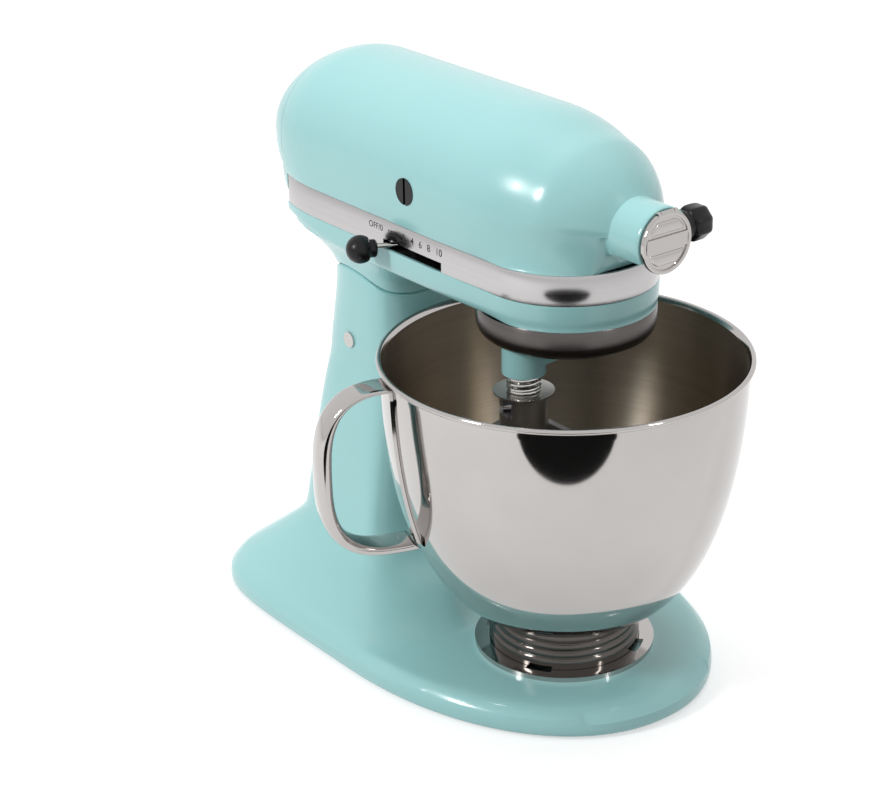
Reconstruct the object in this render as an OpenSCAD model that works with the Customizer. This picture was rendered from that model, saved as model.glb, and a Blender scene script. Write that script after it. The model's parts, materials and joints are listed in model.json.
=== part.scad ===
// Tilt-head stand mixer, five-quart size, built as separate pieces.
// Origin: on the counter, under the bowl axis. The hub points to -Y and the speed knob to -X.

/* [Overall] */
// Height of the whole mixer, counter to the top of the head
mixer_h = 352; // [340:1:425]
// Width of the base
base_w = 221; // [200:1:266]
// How far the base reaches ahead of the bowl axis
base_front = 92.5; // [85:0.5:110]
// How far the base reaches behind the bowl axis
base_rear = 243; // [225:1:290]

/* [Base and column] */
// Height of the flat deck above the counter
deck_z = 18; // [17:0.5:24]
// Free height of the rubber feet under the casting
foot_h = 2; // [1.5:0.5:4]
// Width of the column at its top
column_w = 83; // [78:1:96]
// Front face of the column, behind the bowl axis
column_front = 120; // [118:1:126]
// Depth of the column at its top
column_depth = 75; // [72:1:90]
// Height of the hinge pin
hinge_z = 177; // [170:1:185]
// Hinge pin behind the column's front face
hinge_back = 38; // [36:1:42]
// Diameter of the hinge pin
hinge_d = 10; // [8:0.5:12]
// Radius of the saddle where head and column meet
saddle_r = 48; // [46:0.5:52]
// Width of the slot that takes the head's hinge lug
slot_w = 52; // [40:1:54]

/* [Head] */
// Width of the head at its widest
head_w = 114; // [108:1:124]
// Radius of the round front of the gearcase
ring_r = 53.5; // [52:0.5:56]
// Underside of the gearcase
gearcase_z = 241; // [238:0.5:244]
// Lower edge of the trim band
band_z = 256.7; // [254:0.1:258]
// Height of the trim band
band_h = 18.4; // [14:0.1:19]
// Thickness of the trim band
band_t = 1.5; // [1:0.1:2]
// Height of the attachment hub and of the motor
hub_z = 298.3; // [296:0.1:302]
// Radius of the hub nose
nose_r = 19.4; // [19:0.1:23]
// Front face of the hub nose, ahead of the bowl axis
nose_front = 80; // [78:0.5:88]
// Diameter of the bore that takes an attachment
hub_bore = 24; // [22:0.5:26]
// Joint between the motor housing and the rear cover
cover_y = 209; // [206:1:212]
// Rearmost point of the head
head_rear = 250; // [246:1:290]
// Wall of the head castings
wall = 3.6; // [3:0.1:4.5]

/* [Drive] */
// Direction in which the beater shaft stands at rest
planet_angle = 182; // [0:1:359]
// Diameter of the beater shaft
shaft_d = 12.7; // [12:0.1:13]
// Underside of the planetary's shaft boss
boss_z = 205; // [202:0.5:210]
// Radius of the drip ring
drip_r = 52.6; // [50:0.1:53]
// Height of the drip ring
drip_h = 18.5; // [14:0.5:20]

/* [Bowl] */
// Outside diameter of the bowl at its rolled rim
bowl_d = 221.6; // [200:0.2:226]
// Top of the rim above the counter
rim_z = 207.8; // [196:0.2:210]
// Underside of the bowl's own bottom
bowl_z = 42; // [38:0.5:50]
// Sheet thickness of the bowl
bowl_t = 1.2; // [0.8:0.1:1.6]
// Radius of the rolled rim
bead_r = 1.6; // [1.2:0.1:2]
// Radius of the bowl's foot ring
bowl_foot_r = 45.8; // [43:0.1:46]
// Angle by which the handle stands behind the left side
handle_angle = 21; // [0:1:45]
// How far the handle stands out from the rim
handle_reach = 42; // [36:1:56]
// Width of the handle strap
handle_w = 20; // [16:1:24]
// Thickness of the handle's grip
handle_t = 9.5; // [6:0.5:11]
// Thickness of the handle's arms
handle_arm = 5; // [4:0.5:7]

/* [Clamp plate] */
// Radius of the clamp plate's flange
plate_r = 55; // [54:0.5:58]
// Height of the flange above the deck
plate_h = 3; // [2.5:0.1:4]

/* [Controls] */
// Length of the speed lever, pivot to knob
lever_len = 68; // [64:1:72]
// Angle of the speed lever on either side of square
lever_half_angle = 27; // [20:1:28]
// Radius of the ball knobs
knob_r = 8.5; // [6.5:0.5:9]

/* [Fits] */
// Gap between neighbouring moving faces
gap = 0.35; // [0.3:0.05:0.5]
// Radial clearance of a shaft in its bore
fit = 0.05; // [0.03:0.01:0.09]

/* [Hidden] */

ENAMEL = "#a9d8da";
STEEL = "#c4c4c2";
POLISHED = "#d8d8d6";
BLACK = "#1d1d1f";
BRASS = "#b98f4e";
ALUMINIUM = "#b9bcbe";
COPPER = "#b06a3c";
RUBBER = "#3a3a3a";

// Powers and interpolation
function mix(a, b, t) = a + (b - a) * t;
function clamp01(t) = max(0, min(1, t));
function smooth(t) = let (c = clamp01(t)) c * c * (3 - 2 * c);
function pw(v, e) = sign(v) * pow(abs(v), e);

// ---- Outlines and lofts --------------------------------------------------------------------

hinge_y = column_front + hinge_back;
column_rear = column_front + column_depth;
column_mid = column_front + 0.4 * column_depth;
neck_z = hinge_z + 42;
base_mid = 75;
base_corner = 5.6;
widest_z = 7;
flare_top = 160;
mound_h = 40;
bowl_room = 72;
bowl_room_flare = 14;
band_top = band_z + band_h;
split_z = band_z + band_h / 2;
head_mid = 170;
dome_y = 30;
arch_p = 2.1;
chin_y = -49;
lug_r = 30;
outline_n = 56;
saddle_front_r = 67;
saddle_front_z = hinge_z + saddle_r - saddle_front_r;
seat_inset = band_t + 0.3;

// Clamp plate and bowl foot
well_r = plate_r - 4;
well_z = deck_z - 8;
floor_z = well_z + 1.5;
lip_z = deck_z - 0.5;
lug_h = 3.5;
lug_reach = 3;
lug_count = 4;
lug_half = 7;
notch_half = 9.5;
unlock_angle = 30;
plate_screws = [75, 195, 315];
plate_screw_r = 34;

// Hinge, lock and stop screw
lock_y = hinge_y - (lug_r + gap + 5) * sin(45);
lock_z = hinge_z + (lug_r + gap + 5) * cos(45);
lock_x = column_w / 2 + 4;
lock_t = 4.5;
lock_arm = 34;
slot_front = hinge_y - lug_r - 1.5;
slot_rear = hinge_y + 33.5;
stop_x = 33;
stop_ahead = 12;
stop_y = hinge_y - stop_ahead;
stop_top = saddle_front_z + sqrt(pow(saddle_front_r, 2) - pow(stop_ahead, 2)) - 0.3;
pin_half = column_w / 2 + 1.4;

// Gearcase
web_z = gearcase_z + 0.5;
floor_in = web_z + 6;
spigot_z = gearcase_z - 10.5;
gear_out = drip_r - 5;
drip_in = drip_r - 1.25;
bracket_z = band_z + 6;
case_screws = [[-46, 128], [46, 128], [-45, 186], [45, 186]];
bracket_posts = [[46, 14], [-46, 14], [41, 73]];

// Gear train: teeth of the fixed ring, the planet, the centre gear, its pinion and the worm wheel
ring_teeth = 58;
planet_teeth = 14;
centre_teeth = 42;
drive_teeth = 12;
wheel_teeth = 20;
planet_e = 33;
gear_m = 2;
planet_m = 2 * planet_e / (ring_teeth - planet_teeth);
worm_r = 7;
centre_r = 7;
wheel_tip = (wheel_teeth / 2 + 0.9) * gear_m;
wheel_x = wheel_tip + worm_r + gap;
wheel_y = sqrt(pow((centre_teeth + drive_teeth) * gear_m / 2, 2) - wheel_x * wheel_x);
gear_z = floor_in + 1.2;
gear_h = 8;
crown_z = hub_z - 8.9 * 1.6 - gap - 0.1;

// Motor
brush_y = 77;
cap_r = 8.1;
holder_x = 49;
commutator_r = 13;
bearing_y = 67.6;
bearing_t = 2.8;
holder_r = 6.4;
core_y = 105;
core_len = 50;
core_r = 22.5;
rear_bearing_y = 186;
board_y = 210;

// Hub
cover_r = 18.1;
cover_t = 2.85;
cover_pin_y = -nose_front - gap - cover_t / 2;
cover_pin_z = hub_z + cover_r - 1.2;
cover_pin_half = 5;
ear_w = 2.2;
hub_depth = 24;
hub_journal_r = hub_bore / 2 - 1.5;
knob_y = 12 - nose_front;
knob_x = nose_r + 0.9;
knob_len = 21;

// Cord gland
gland_x = 22;
gland_y = head_rear - 34;
gland_z = hub_z - 30;
gland_r = 6.5;

// Planetary
plate_bottom = gearcase_z - drip_h + 1;
plate_top = spigot_z - 1.2;
pinion_z = spigot_z + 0.2;
washer_z = boss_z - 12;
collar_top = washer_z - 0.4;
collar_h = 20;
collar_r = 14.2;

// Speed control
lever_x = -9;
lever_y = 74;
lever_z = band_z + 1.6;
lever_t = 3;
slot_half = 27.5;

// Bowl profile: flat bottom, upper wall and the power of the curve between them
bowl_flat_r = 20;
bowl_wall_r = bowl_d / 2 - 2.9;
bowl_power = 2.79;

// Beater
pin_z = boss_z - 21.5;
beater_turn = -36 - planet_angle;
wheel_phase = atan2(wheel_y, wheel_x) * (1 + centre_teeth / drive_teeth) + 180 + 180 / drive_teeth;

// Closed outline: half width hw, front y0, widest y1, rear y2, corner powers m (front) and n (rear)
function outline(hw, y0, y1, y2, m, n, count = 40) = [for (i = [0:count - 1])
  let (a = 360 * i / count, p = sin(a) < 0 ? m : n)
  [hw * pw(cos(a), 2 / p), y1 + (sin(a) < 0 ? y1 - y0 : y2 - y1) * pw(sin(a), 2 / p)]];

// Solid through a stack of rings of 3-D points, counter-clockwise seen from the last ring
module loft(rings) {
  n = len(rings[0]);
  k = len(rings);
  sides = [for (j = [0:k - 2]) for (i = [0:n - 1]) for (half = [0:1])
    let (a = j * n + i, b = j * n + (i + 1) % n)
    half == 0 ? [a, a + n, b + n] : [a, b + n, b]];
  first = [for (i = [0:n - 1]) i];
  last = [for (i = [n - 1:-1:0]) (k - 1) * n + i];
  polyhedron([for (r = rings) for (p = r) p], concat([first], sides, [last]));
}

function level(points, z) = [for (p = points) [p[0], p[1], z]];

// How far the base's edge is drawn in at height z
function edge(z) = z < widest_z
  ? 4 * pow((widest_z - z) / widest_z, 2)
  : 7.5 * (1 - sqrt(1 - pow((z - widest_z) / (deck_z - widest_z + 0.5), 2)));

function base_outline(z) = outline(base_w / 2 - edge(z), edge(z) - base_front, base_mid,
  base_rear - 0.5 * edge(z), 2.1, base_corner, outline_n);

// How far the pedestal has spread at height z, from 0 at the top of the column to 1 at its foot:
// a long straight flare, and a mound just above the deck
function flare(z) = 0.4 * max(0, 1 - z / flare_top);
function mound(z) = 0.6 * (1 - smooth((z - deck_z + 4) / mound_h));

// Column outline at height z; above the neck it flares into the underside of the head
function column_outline(z) = let (
  s = flare(z) + mound(z),
  g = pow(max(0, z - neck_z) / 24, 2))
  outline(mix(column_w / 2, base_w / 2 - 3.5, s) + 9 * g,
    column_front - 25 * flare(z) - 105 * mound(z) - 26 * g,
    mix(column_mid, base_mid - 5, s),
    mix(column_rear, base_rear - 2, s) + 16 * g,
    mix(4, 2.2, s), mix(2.4, base_corner, smooth((neck_z - z) / 110)), outline_n);

// How the head draws in towards its front, and towards its rear with corner power p
function dome(y) = sqrt(max(0.0004, 1 - pow(max(0, dome_y - y) / (dome_y + head_w / 2), 2)));
function rear_close(y, p, from = head_mid) = y <= from ? 1
  : pow(max(0.0001, 1 - pow((y - from) / (head_rear - from), p)), 1 / p);
// Half width of the head at the trim band and at the hub's height, and its rise above the hub
function band_half(y) = y < 0 ? sqrt(max(0.6, ring_r * ring_r - y * y))
  : mix(ring_r, ring_r + 1.5, smooth(y / 60)) * rear_close(y, 2.1);
function mid_half(y) = head_w / 2 * dome(y) * rear_close(y, 2.3);
function top_rise(y) = (mixer_h - hub_z) * dome(y) * rear_close(y, 1.7, head_mid + 15);
// Steps from y0 to y1 that shorten towards the rounded rear end
function rear_steps(y0, y1, count) = let (
  span = head_rear - head_mid,
  a0 = asin((y0 - head_mid) / span),
  a1 = asin((y1 - head_mid) / span))
  [for (i = [0:count]) head_mid + span * sin(mix(a0, a1, i / count))];

// The dome melts into the round hub nose
function with_nose(p, y, inset) = let (
  r = norm(p),
  k = y > 0 ? 0 : nose_r * smooth(-y / 30),
  w = mix(8, 2.5, smooth((p[1] / r + 0.2) / 0.6)),
  s = (pow(pow(r, w) + pow(k, w), 1 / w) - inset) / r)
  [p[0] * s, p[1] * s];

// Cross section of the upper housing at y, from the left side over the top to the right
function upper_arch(y, count) = [for (i = [0:count])
  let (a = 180 * i / count)
  [-mid_half(y) * pw(cos(a), 2 / arch_p), top_rise(y) * pw(sin(a), 2 / arch_p)]];
// Right side from the widest height down to depth d below the hub
function lower_side(y, d, close) = [for (i = [1:5])
  let (a = 18 * i, b = band_half(y), m = mid_half(y))
  [b + (m - b) * cos(a), -close * (hub_z - band_top) * sin(a)]];

function housing_ring(y, inset = 0, drop = 0) = let (
  close = y > chin_y ? 1 : max(0.02, 1 - (chin_y - y) / 5),
  side = lower_side(y, drop, close),
  foot = [band_half(y), close * (split_z - drop - hub_z)],
  points = concat(upper_arch(y, 26), side, [foot],
    [for (p = [foot, side[4], side[3], side[2], side[1], side[0]]) [-p[0], p[1]]]))
  [for (p = points) let (q = with_nose(p, y, inset)) [q[0], y, hub_z + q[1]]];

// Cross section of the rear cover, closed underneath
function cover_ring(y, inset = 0) = let (
  c = rear_close(y, 2.1),
  b = band_half(y),
  lower = [for (i = [0:6]) let (a = 15 * i)
    [b * pw(cos(a), 1 / 2.6), c * (band_top - hub_z - (band_top - gearcase_z) * pw(sin(a), 1 / 2.6))]],
  side = [for (p = lower_side(y, 0, c)) p],
  right = concat([for (i = [0:3]) side[i]], lower),
  points = concat(upper_arch(y, 26), right,
    [for (i = [len(right) - 2:-1:0]) [-right[i][0], right[i][1]]]))
  [for (p = points) let (s = max(0.05, 1 - inset / norm(p))) [p[0] * s, y, hub_z + p[1] * s]];

// Cross section of the gearcase tub at y
function tub_ring(y) = let (
  b = band_half(y),
  lower = [for (i = [0:7]) let (a = 90 * i / 7)
    [b * pw(cos(a), 1 / 3), split_z - (split_z - gearcase_z) * pw(sin(a), 1 / 3)]])
  [for (p = concat(lower, [for (i = [6:-1:0]) [-lower[i][0], lower[i][1]]])) [p[0], y, p[1]]];

// Plan of the head at the band, drawn in by inset, from the round front to y = end
module head_plan(inset, end) {
  ys = [for (i = [0:12]) end * i / 12];
  circle(ring_r - inset, $fn = 120);
  polygon(concat([for (y = ys) [band_half(y) - inset, y]],
    [for (i = [12:-1:0]) [inset - band_half(ys[i]), ys[i]]]));
}

// ---- Small shared shapes -------------------------------------------------------------------

module along_x(x0, x1, r) {
  translate([x0, 0, 0]) rotate([0, 90, 0]) cylinder(h = x1 - x0, r = r, $fn = 64);
}
module along_y(y0, y1, r) {
  translate([0, y0, 0]) rotate([-90, 0, 0]) cylinder(h = y1 - y0, r = r, $fn = 64);
}
module ring_y(y0, y1, outer, inner) {
  difference() {
    along_y(y0, y1, outer);
    along_y(y0 - 1, y1 + 1, inner);
  }
}
module tube(h, outer, inner) {
  difference() {
    cylinder(h = h, r = outer, $fn = 96);
    translate([0, 0, -1]) cylinder(h = h + 2, r = inner, $fn = 96);
  }
}
// Screw along +Z with its head underneath
module screw(length, r, head_r, head_h, slot = 1) {
  difference() {
    union() {
      cylinder(h = head_h, r = head_r, $fn = 48);
      cylinder(h = length, r = r, $fn = 48);
    }
    translate([-head_r - 1, -slot / 2, -1]) cube([2 * head_r + 2, slot, 1 + 0.45 * head_h]);
  }
}
// Gear outline with straight-sided teeth; grow moves every flank outwards
module gear_2d(teeth, module_mm, grow = 0) {
  r = teeth * module_mm / 2;
  step = 360 / teeth;
  tip = (0.12 * step) + grow * 28 / r;
  root = (0.27 * step) + grow * 28 / r;
  polygon([for (i = [0:teeth - 1]) for (c = [[-root, -1.15], [-tip, 0.9], [tip, 0.9], [root, -1.15]])
    let (a = i * step + c[0], q = r + c[1] * module_mm + grow)
    [q * cos(a), q * sin(a)]]);
}

// ---- Base and column -----------------------------------------------------------------------

feet = [[-52, -38], [52, -38], [-84, 198], [84, 198], [0, 222], [0, 0]];
bolts = [[-48, 150], [48, 150], [-44, 200], [44, 200]];
bolt_r = 4;
// Centre and size in X and Y of each pocket cast under the base
pockets = [[-33, 100, 58, 68], [33, 100, 58, 68], [0, 175, 60, 66], [-82.5, 100, 27, 120],
  [82.5, 100, 27, 120]];

module base() {
  color(ENAMEL)
  difference() {
    loft([for (z = [foot_h, 4, widest_z, 10.5, 13.5, 16, deck_z]) level(base_outline(z), z)]);
    translate([0, 0, well_z]) cylinder(h = 20, r = well_r, $fn = 96);
    for (p = pockets)
      translate([p[0] - p[2] / 2, p[1] - p[3] / 2, -1]) cube([p[2], p[3], deck_z - 4]);
    for (p = feet) translate([p[0], p[1], -1]) cylinder(h = 9, r = 5 + fit, $fn = 48);
    for (p = bolts) translate([p[0], p[1], -1]) {
      cylinder(h = 30, r = bolt_r + fit, $fn = 48);
      cylinder(h = 12, r = 9, $fn = 48);
    }
    for (a = plate_screws) rotate(a) translate([plate_screw_r, 0, 4]) cylinder(h = 20, r = 2.5, $fn = 32);
  }
}

module rubber_feet() {
  color(RUBBER)
  for (p = feet) translate([p[0], p[1], 0]) {
    cylinder(h = foot_h, r = 11, $fn = 64);
    cylinder(h = 7.5, r = 5, $fn = 48);
  }
}

// Side profile of the space under the saddle, drawn in Y and Z
module saddle_2d(grow) {
  intersection() {
    translate([hinge_y, saddle_front_z]) circle(saddle_front_r + grow, $fn = 160);
    translate([hinge_y - 200, hinge_z - 100]) square([200, 300]);
  }
  intersection() {
    translate([hinge_y, hinge_z]) circle(saddle_r + grow, $fn = 160);
    translate([hinge_y, hinge_z - 100]) square([200, 300]);
  }
  translate([hinge_y - 200, hinge_z - 250]) square([400, 250 + grow]);
}
module saddle(grow) {
  translate([-100, 0, 0]) rotate([90, 0, 90]) linear_extrude(200) saddle_2d(grow);
}

column_steps = concat([for (i = [0:8]) deck_z + 4.5 * i], [for (z = [66, 85, 110, 135]) z],
  [flare_top, 185, neck_z]);
module column() {
  color(ENAMEL)
  difference() {
    intersection() {
      loft(concat([for (z = column_steps) level(column_outline(z), z)],
        [level(column_outline(neck_z), neck_z + 10)]));
      saddle(0);
    }
    translate([0, 0, deck_z])
      cylinder(h = mound_h, r1 = bowl_room, r2 = bowl_room + bowl_room_flare, $fn = 96);
    translate([0, hinge_y, hinge_z]) along_x(-slot_w / 2, slot_w / 2, lug_r + 1.5);
    translate([-slot_w / 2, slot_front, hinge_z]) cube([slot_w, slot_rear - slot_front, 80]);
    translate([0, hinge_y, hinge_z]) along_x(-100, 100, hinge_d / 2 + fit);
    translate([0, lock_y, lock_z]) along_x(-slot_w / 2 - 8, 100, 5 + fit);
    translate([stop_x, stop_y, hinge_z + 10]) cylinder(h = 60, r = 3 + fit, $fn = 48);
    translate([-slot_w / 2 - 8, hinge_y + 40, hinge_z]) rotate([90, 0, 0]) cylinder(h = 35, r = 2, $fn = 32);
    for (x = [-34, 3]) for (y = [131, 166]) translate([x, y, 0]) cube([31, 30, 118]);
    for (p = bolts) translate([p[0], p[1], 0]) cylinder(h = 44, r = bolt_r + fit, $fn = 48);
  }
}

module column_bolts() {
  color(STEEL)
  for (p = bolts) translate([p[0], p[1], 0]) {
    translate([0, 0, 4]) cylinder(h = 6, r = 7, $fn = 6);
    translate([0, 0, 10]) tube(1, 8.5, bolt_r);
    translate([0, 0, 4]) cylinder(h = 38, r = bolt_r, $fn = 48);
  }
}

// ---- Clamp plate ---------------------------------------------------------------------------

module clamp_plate() {
  color(POLISHED)
  difference() {
    union() {
      translate([0, 0, well_z]) cylinder(h = deck_z - well_z, r = well_r - fit, $fn = 96);
      translate([0, 0, deck_z]) cylinder(h = plate_h, r = plate_r, $fn = 120);
    }
    translate([0, 0, floor_z])
      cylinder(h = lip_z - floor_z, r = bowl_foot_r + lug_reach + gap + 0.4, $fn = 96);
    translate([0, 0, floor_z]) cylinder(h = 20, r = bowl_foot_r + gap, $fn = 96);
    for (i = [0:lug_count - 1]) rotate(i * 360 / lug_count + unlock_angle)
      translate([0, 0, floor_z]) rotate_extrude(angle = 2 * notch_half, start = -notch_half)
        translate([bowl_foot_r - 2, 0]) square([lug_reach + gap + 2, 20]);
    for (a = plate_screws) rotate(a) translate([plate_screw_r, 0, 0]) cylinder(h = 40, r = 2.5, $fn = 32);
  }
}

module clamp_plate_screws() {
  color(STEEL)
  for (a = plate_screws) rotate(a) translate([plate_screw_r, 0, floor_z]) {
    cylinder(h = 1.4, r = 4.5, $fn = 40);
    translate([0, 0, -7.3]) cylinder(h = 7.3, r = 2.45, $fn = 32);
  }
}

// ---- Hinge and lock ------------------------------------------------------------------------

module hinge_pin() {
  color(POLISHED)
  translate([0, hinge_y, hinge_z]) along_x(-pin_half, pin_half, hinge_d / 2);
}

module hinge_set_screw() {
  color(STEEL)
  translate([-slot_w / 2 - 8, hinge_y + 17, hinge_z]) rotate([90, 0, 0])
    cylinder(h = 17 - hinge_d / 2 - 0.1, r = 2 - fit, $fn = 32);
}

module height_screw() {
  color(STEEL)
  translate([stop_x, stop_y, hinge_z + 14])
    cylinder(h = stop_top - hinge_z - 14, r = 3, $fn = 48);
}

module lock_lever() {
  color(POLISHED)
  difference() {
    translate([0, lock_y, lock_z]) {
      along_x(-slot_w / 2 - 7.5, lock_x + lock_t, 5);
      translate([lock_x, 0, -4]) cube([lock_t, lock_arm, 8]);
      along_x(lock_x, lock_x + lock_t, 8);
      translate([0, lock_arm, 0]) along_x(lock_x, lock_x + lock_t + 3, 4);
    }
    translate([-slot_w / 2 + 1, lock_y + 2.5, lock_z - 6]) cube([slot_w - 2, 6, 12]);
  }
}

module lock_knob() {
  color(BLACK)
  translate([lock_x + lock_t, lock_y + lock_arm, lock_z]) difference() {
    union() {
      translate([knob_r, 0, 0]) sphere(knob_r, $fn = 64);
      along_x(0.2, knob_r, 5.5);
    }
    along_x(-1, 3 + fit, 4 + fit);
  }
}

// ---- Gearcase ------------------------------------------------------------------------------

module lever_slot() {
  translate([-ring_r - 8, lever_y - slot_half, band_z])
    cube([16, 2 * slot_half, lever_z + lever_t + 1.5 - band_z]);
}
module band_seat() {
  translate([0, 0, band_z]) linear_extrude(band_h) difference() {
    translate([-100, -100]) square([200, 400]);
    head_plan(seat_inset, cover_y + 1);
    translate([-100, cover_y - 2]) square([200, 300]);
  }
}

module gearcase() {
  color(ENAMEL)
  difference() {
    union() {
      translate([0, 0, gearcase_z]) cylinder(h = split_z - gearcase_z, r = ring_r, $fn = 120);
      loft([for (y = concat([0, 15, 30, 45, 60], rear_steps(head_mid, cover_y, 4))) tub_ring(y)]);
      difference() {
        loft([for (z = [hinge_z + 18, neck_z - 6, neck_z, neck_z + 6, neck_z + 11, neck_z + 15,
          neck_z + 19, neck_z + 23, neck_z + 26]) level(column_outline(z), z)]);
        saddle(gap + 0.1);
      }
      translate([0, 0, spigot_z]) cylinder(h = gearcase_z - spigot_z, r = drip_in, $fn = 120);
      translate([0, hinge_y, hinge_z]) along_x(gap - slot_w / 2, slot_w / 2 - gap, lug_r);
      translate([gap - slot_w / 2, hinge_y - 18, hinge_z])
        cube([slot_w - 2 * gap, 12, neck_z + 10 - hinge_z]);
    }
    translate([0, 0, spigot_z - 1]) cylinder(h = web_z - spigot_z + 1, r = gear_out + fit, $fn = 120);
    translate([0, 0, floor_in]) cylinder(h = 40, r = ring_r - wall - 0.3, $fn = 120);
    difference() {
      translate([0, 0, floor_in + 3]) linear_extrude(40) difference() {
        head_plan(wall, cover_y + 4);
        translate([-100, -100]) square([200, 100]);
      }
      for (p = concat(case_screws, [bracket_posts[2]])) translate([p[0], p[1], 0])
        cylinder(h = p[1] < 80 ? bracket_z : 300, r = 6, $fn = 48);
      translate([lever_x, lever_y, 0]) cylinder(h = lever_z + lever_t + 1, r = 3, $fn = 48);
      translate([lever_x, lever_y, 0]) cylinder(h = lever_z - 0.3, r = 7, $fn = 48);
    }
    translate([0, 0, spigot_z]) cylinder(h = 60, r = centre_r + fit, $fn = 64);
    translate([wheel_x, wheel_y, floor_in - 2.2]) cylinder(h = 20, r = 4 + fit, $fn = 48);
    translate([wheel_x, wheel_y, floor_in]) cylinder(h = 20, r = 15, $fn = 96);
    translate([0, hinge_y, hinge_z]) along_x(-60, 60, hinge_d / 2 + fit);
    for (p = case_screws) translate([p[0], p[1], 200]) {
      cylinder(h = 100, r = 2.5 + fit, $fn = 32);
      cylinder(h = gearcase_z + 5 - 200, r = 4.8, $fn = 40);
    }
    for (p = bracket_posts) translate([p[0], p[1], floor_in + 4]) cylinder(h = 30, r = 2, $fn = 32);
    lever_slot();
    band_seat();
  }
  color(ENAMEL) for (p = [bracket_posts[0], bracket_posts[1]]) difference() {
    translate([p[0], p[1], floor_in - 1]) cylinder(h = bracket_z - floor_in + 1, r = 3.6, $fn = 48);
    translate([p[0], p[1], floor_in + 4]) cylinder(h = 30, r = 2, $fn = 32);
  }
}

module housing_screws() {
  color(STEEL)
  for (p = case_screws)
    translate([p[0], p[1], gearcase_z + 2]) screw(split_z + 8 - gearcase_z, 2.5, 4.5, 2.9);
}

// ---- Motor housing and covers --------------------------------------------------------------

module motor_housing() {
  color(ENAMEL)
  difference() {
    union() {
      difference() {
        loft([for (y = concat([-nose_front, -73, -66, -60, -56, -53, -50, -47, -43, -38, -32, -25, -17,
          -8, 0, 10, 20, dome_y], rear_steps(head_mid, cover_y, 5))) housing_ring(y)]);
        loft([for (y = concat([-44, -38, -31, -22, -12, 0, 15, dome_y],
          rear_steps(head_mid, cover_y + 3, 5))) housing_ring(y, wall, 12)]);
        translate([-100, -46, 200]) cube([200, 400, split_z + 0.1 - 200]);
      }
      for (p = case_screws) translate([p[0], p[1], split_z + 0.1]) cylinder(h = 14, r = 6.8, $fn = 48);
      for (x = [-1, 1]) translate([0, brush_y, hub_z])
        along_x(x > 0 ? holder_x : 2 - head_w / 2, x > 0 ? head_w / 2 - 2 : -holder_x, cap_r + 3);
      for (x = [cover_pin_half, -cover_pin_half - ear_w]) {
        translate([0, cover_pin_y, cover_pin_z]) along_x(x, x + ear_w, 1.5);
        translate([x, cover_pin_y, cover_pin_z - 1.5]) cube([ear_w, -nose_front + 2 - cover_pin_y, 3]);
      }
    }
    translate([0, 0, hub_z]) along_y(-nose_front - 1, -38, hub_bore / 2 + 3 + fit);
    translate([0, knob_y, hub_z]) along_x(0, nose_r + 10, 3 + fit);
    translate([0, brush_y, hub_z]) along_x(-100, 100, cap_r + fit);
    for (p = case_screws)
      translate([p[0], p[1], 200]) cylinder(h = split_z + 11 - 200, r = 2.5 + fit, $fn = 32);
    hinge_bore();
    band_seat();
  }
}

module hinge_bore() {
  translate([0, cover_pin_y, cover_pin_z]) along_x(-10, 10, 0.8 + fit);
}

module rear_cover() {
  color(ENAMEL)
  difference() {
    loft([for (y = rear_steps(cover_y + 0.2, head_rear - 0.1, 12)) cover_ring(y)]);
    loft([for (y = rear_steps(cover_y - 1, head_rear - wall - 1, 8)) cover_ring(y, wall)]);
    translate([0, 0, hub_z]) along_y(head_rear - 40, head_rear + 5, 2.5 + fit);
    translate([0, 0, hub_z]) along_y(head_rear - 3, head_rear + 5, 5.2);
    translate([gland_x, 0, gland_z]) along_y(gland_y - 1, head_rear, gland_r + fit);
  }
}

module rear_cover_screw() {
  color(STEEL)
  translate([0, head_rear - 0.6, hub_z]) rotate([90, 0, 0])
    screw(head_rear - 0.6 - board_y - 3.2, 2.5, 4.9, 2.2);
}

module cord_gland() {
  color(BLACK)
  translate([gland_x, gland_y, gland_z]) rotate([-90, 0, 0]) difference() {
    union() {
      cylinder(h = 3, r = gland_r + 2, $fn = 64);
      cylinder(h = 22, r = gland_r, $fn = 48);
      translate([0, 0, 22]) cylinder(h = 6, r1 = gland_r, r2 = gland_r - 1.5, $fn = 48);
    }
    translate([0, 0, -1]) cylinder(h = 30, r = 3.6, $fn = 48);
  }
}

module trim_band() {
  color(STEEL)
  difference() {
    translate([0, 0, band_z + 0.15]) linear_extrude(band_h - 0.3) difference() {
      head_plan(0, cover_y - 2.2);
      head_plan(band_t, cover_y);
    }
    lever_slot();
  }
}

// ---- Attachment hub ------------------------------------------------------------------------

module hub_sleeve() {
  color(STEEL)
  translate([0, 0, hub_z]) difference() {
    along_y(-nose_front, -44, hub_bore / 2 + 3);
    along_y(-nose_front - 1, hub_depth - nose_front, hub_bore / 2);
    along_y(-nose_front - 1, -43, hub_journal_r);
    translate([0, knob_y, 0]) along_x(0, 40, 3 + fit);
  }
}

module hub_shaft() {
  color(ALUMINIUM)
  translate([0, 0, hub_z]) difference() {
    union() {
      along_y(hub_depth - nose_front + gap, -46, hub_journal_r - fit);
      along_y(-46, -20, 6);
      translate([0, -21, 0]) rotate([90, 0, 0]) linear_extrude(11) gear_2d(16, 1.6);
    }
    translate([-4.1, -57, -4.1]) cube([8.2, 9, 8.2]);
  }
}

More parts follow.
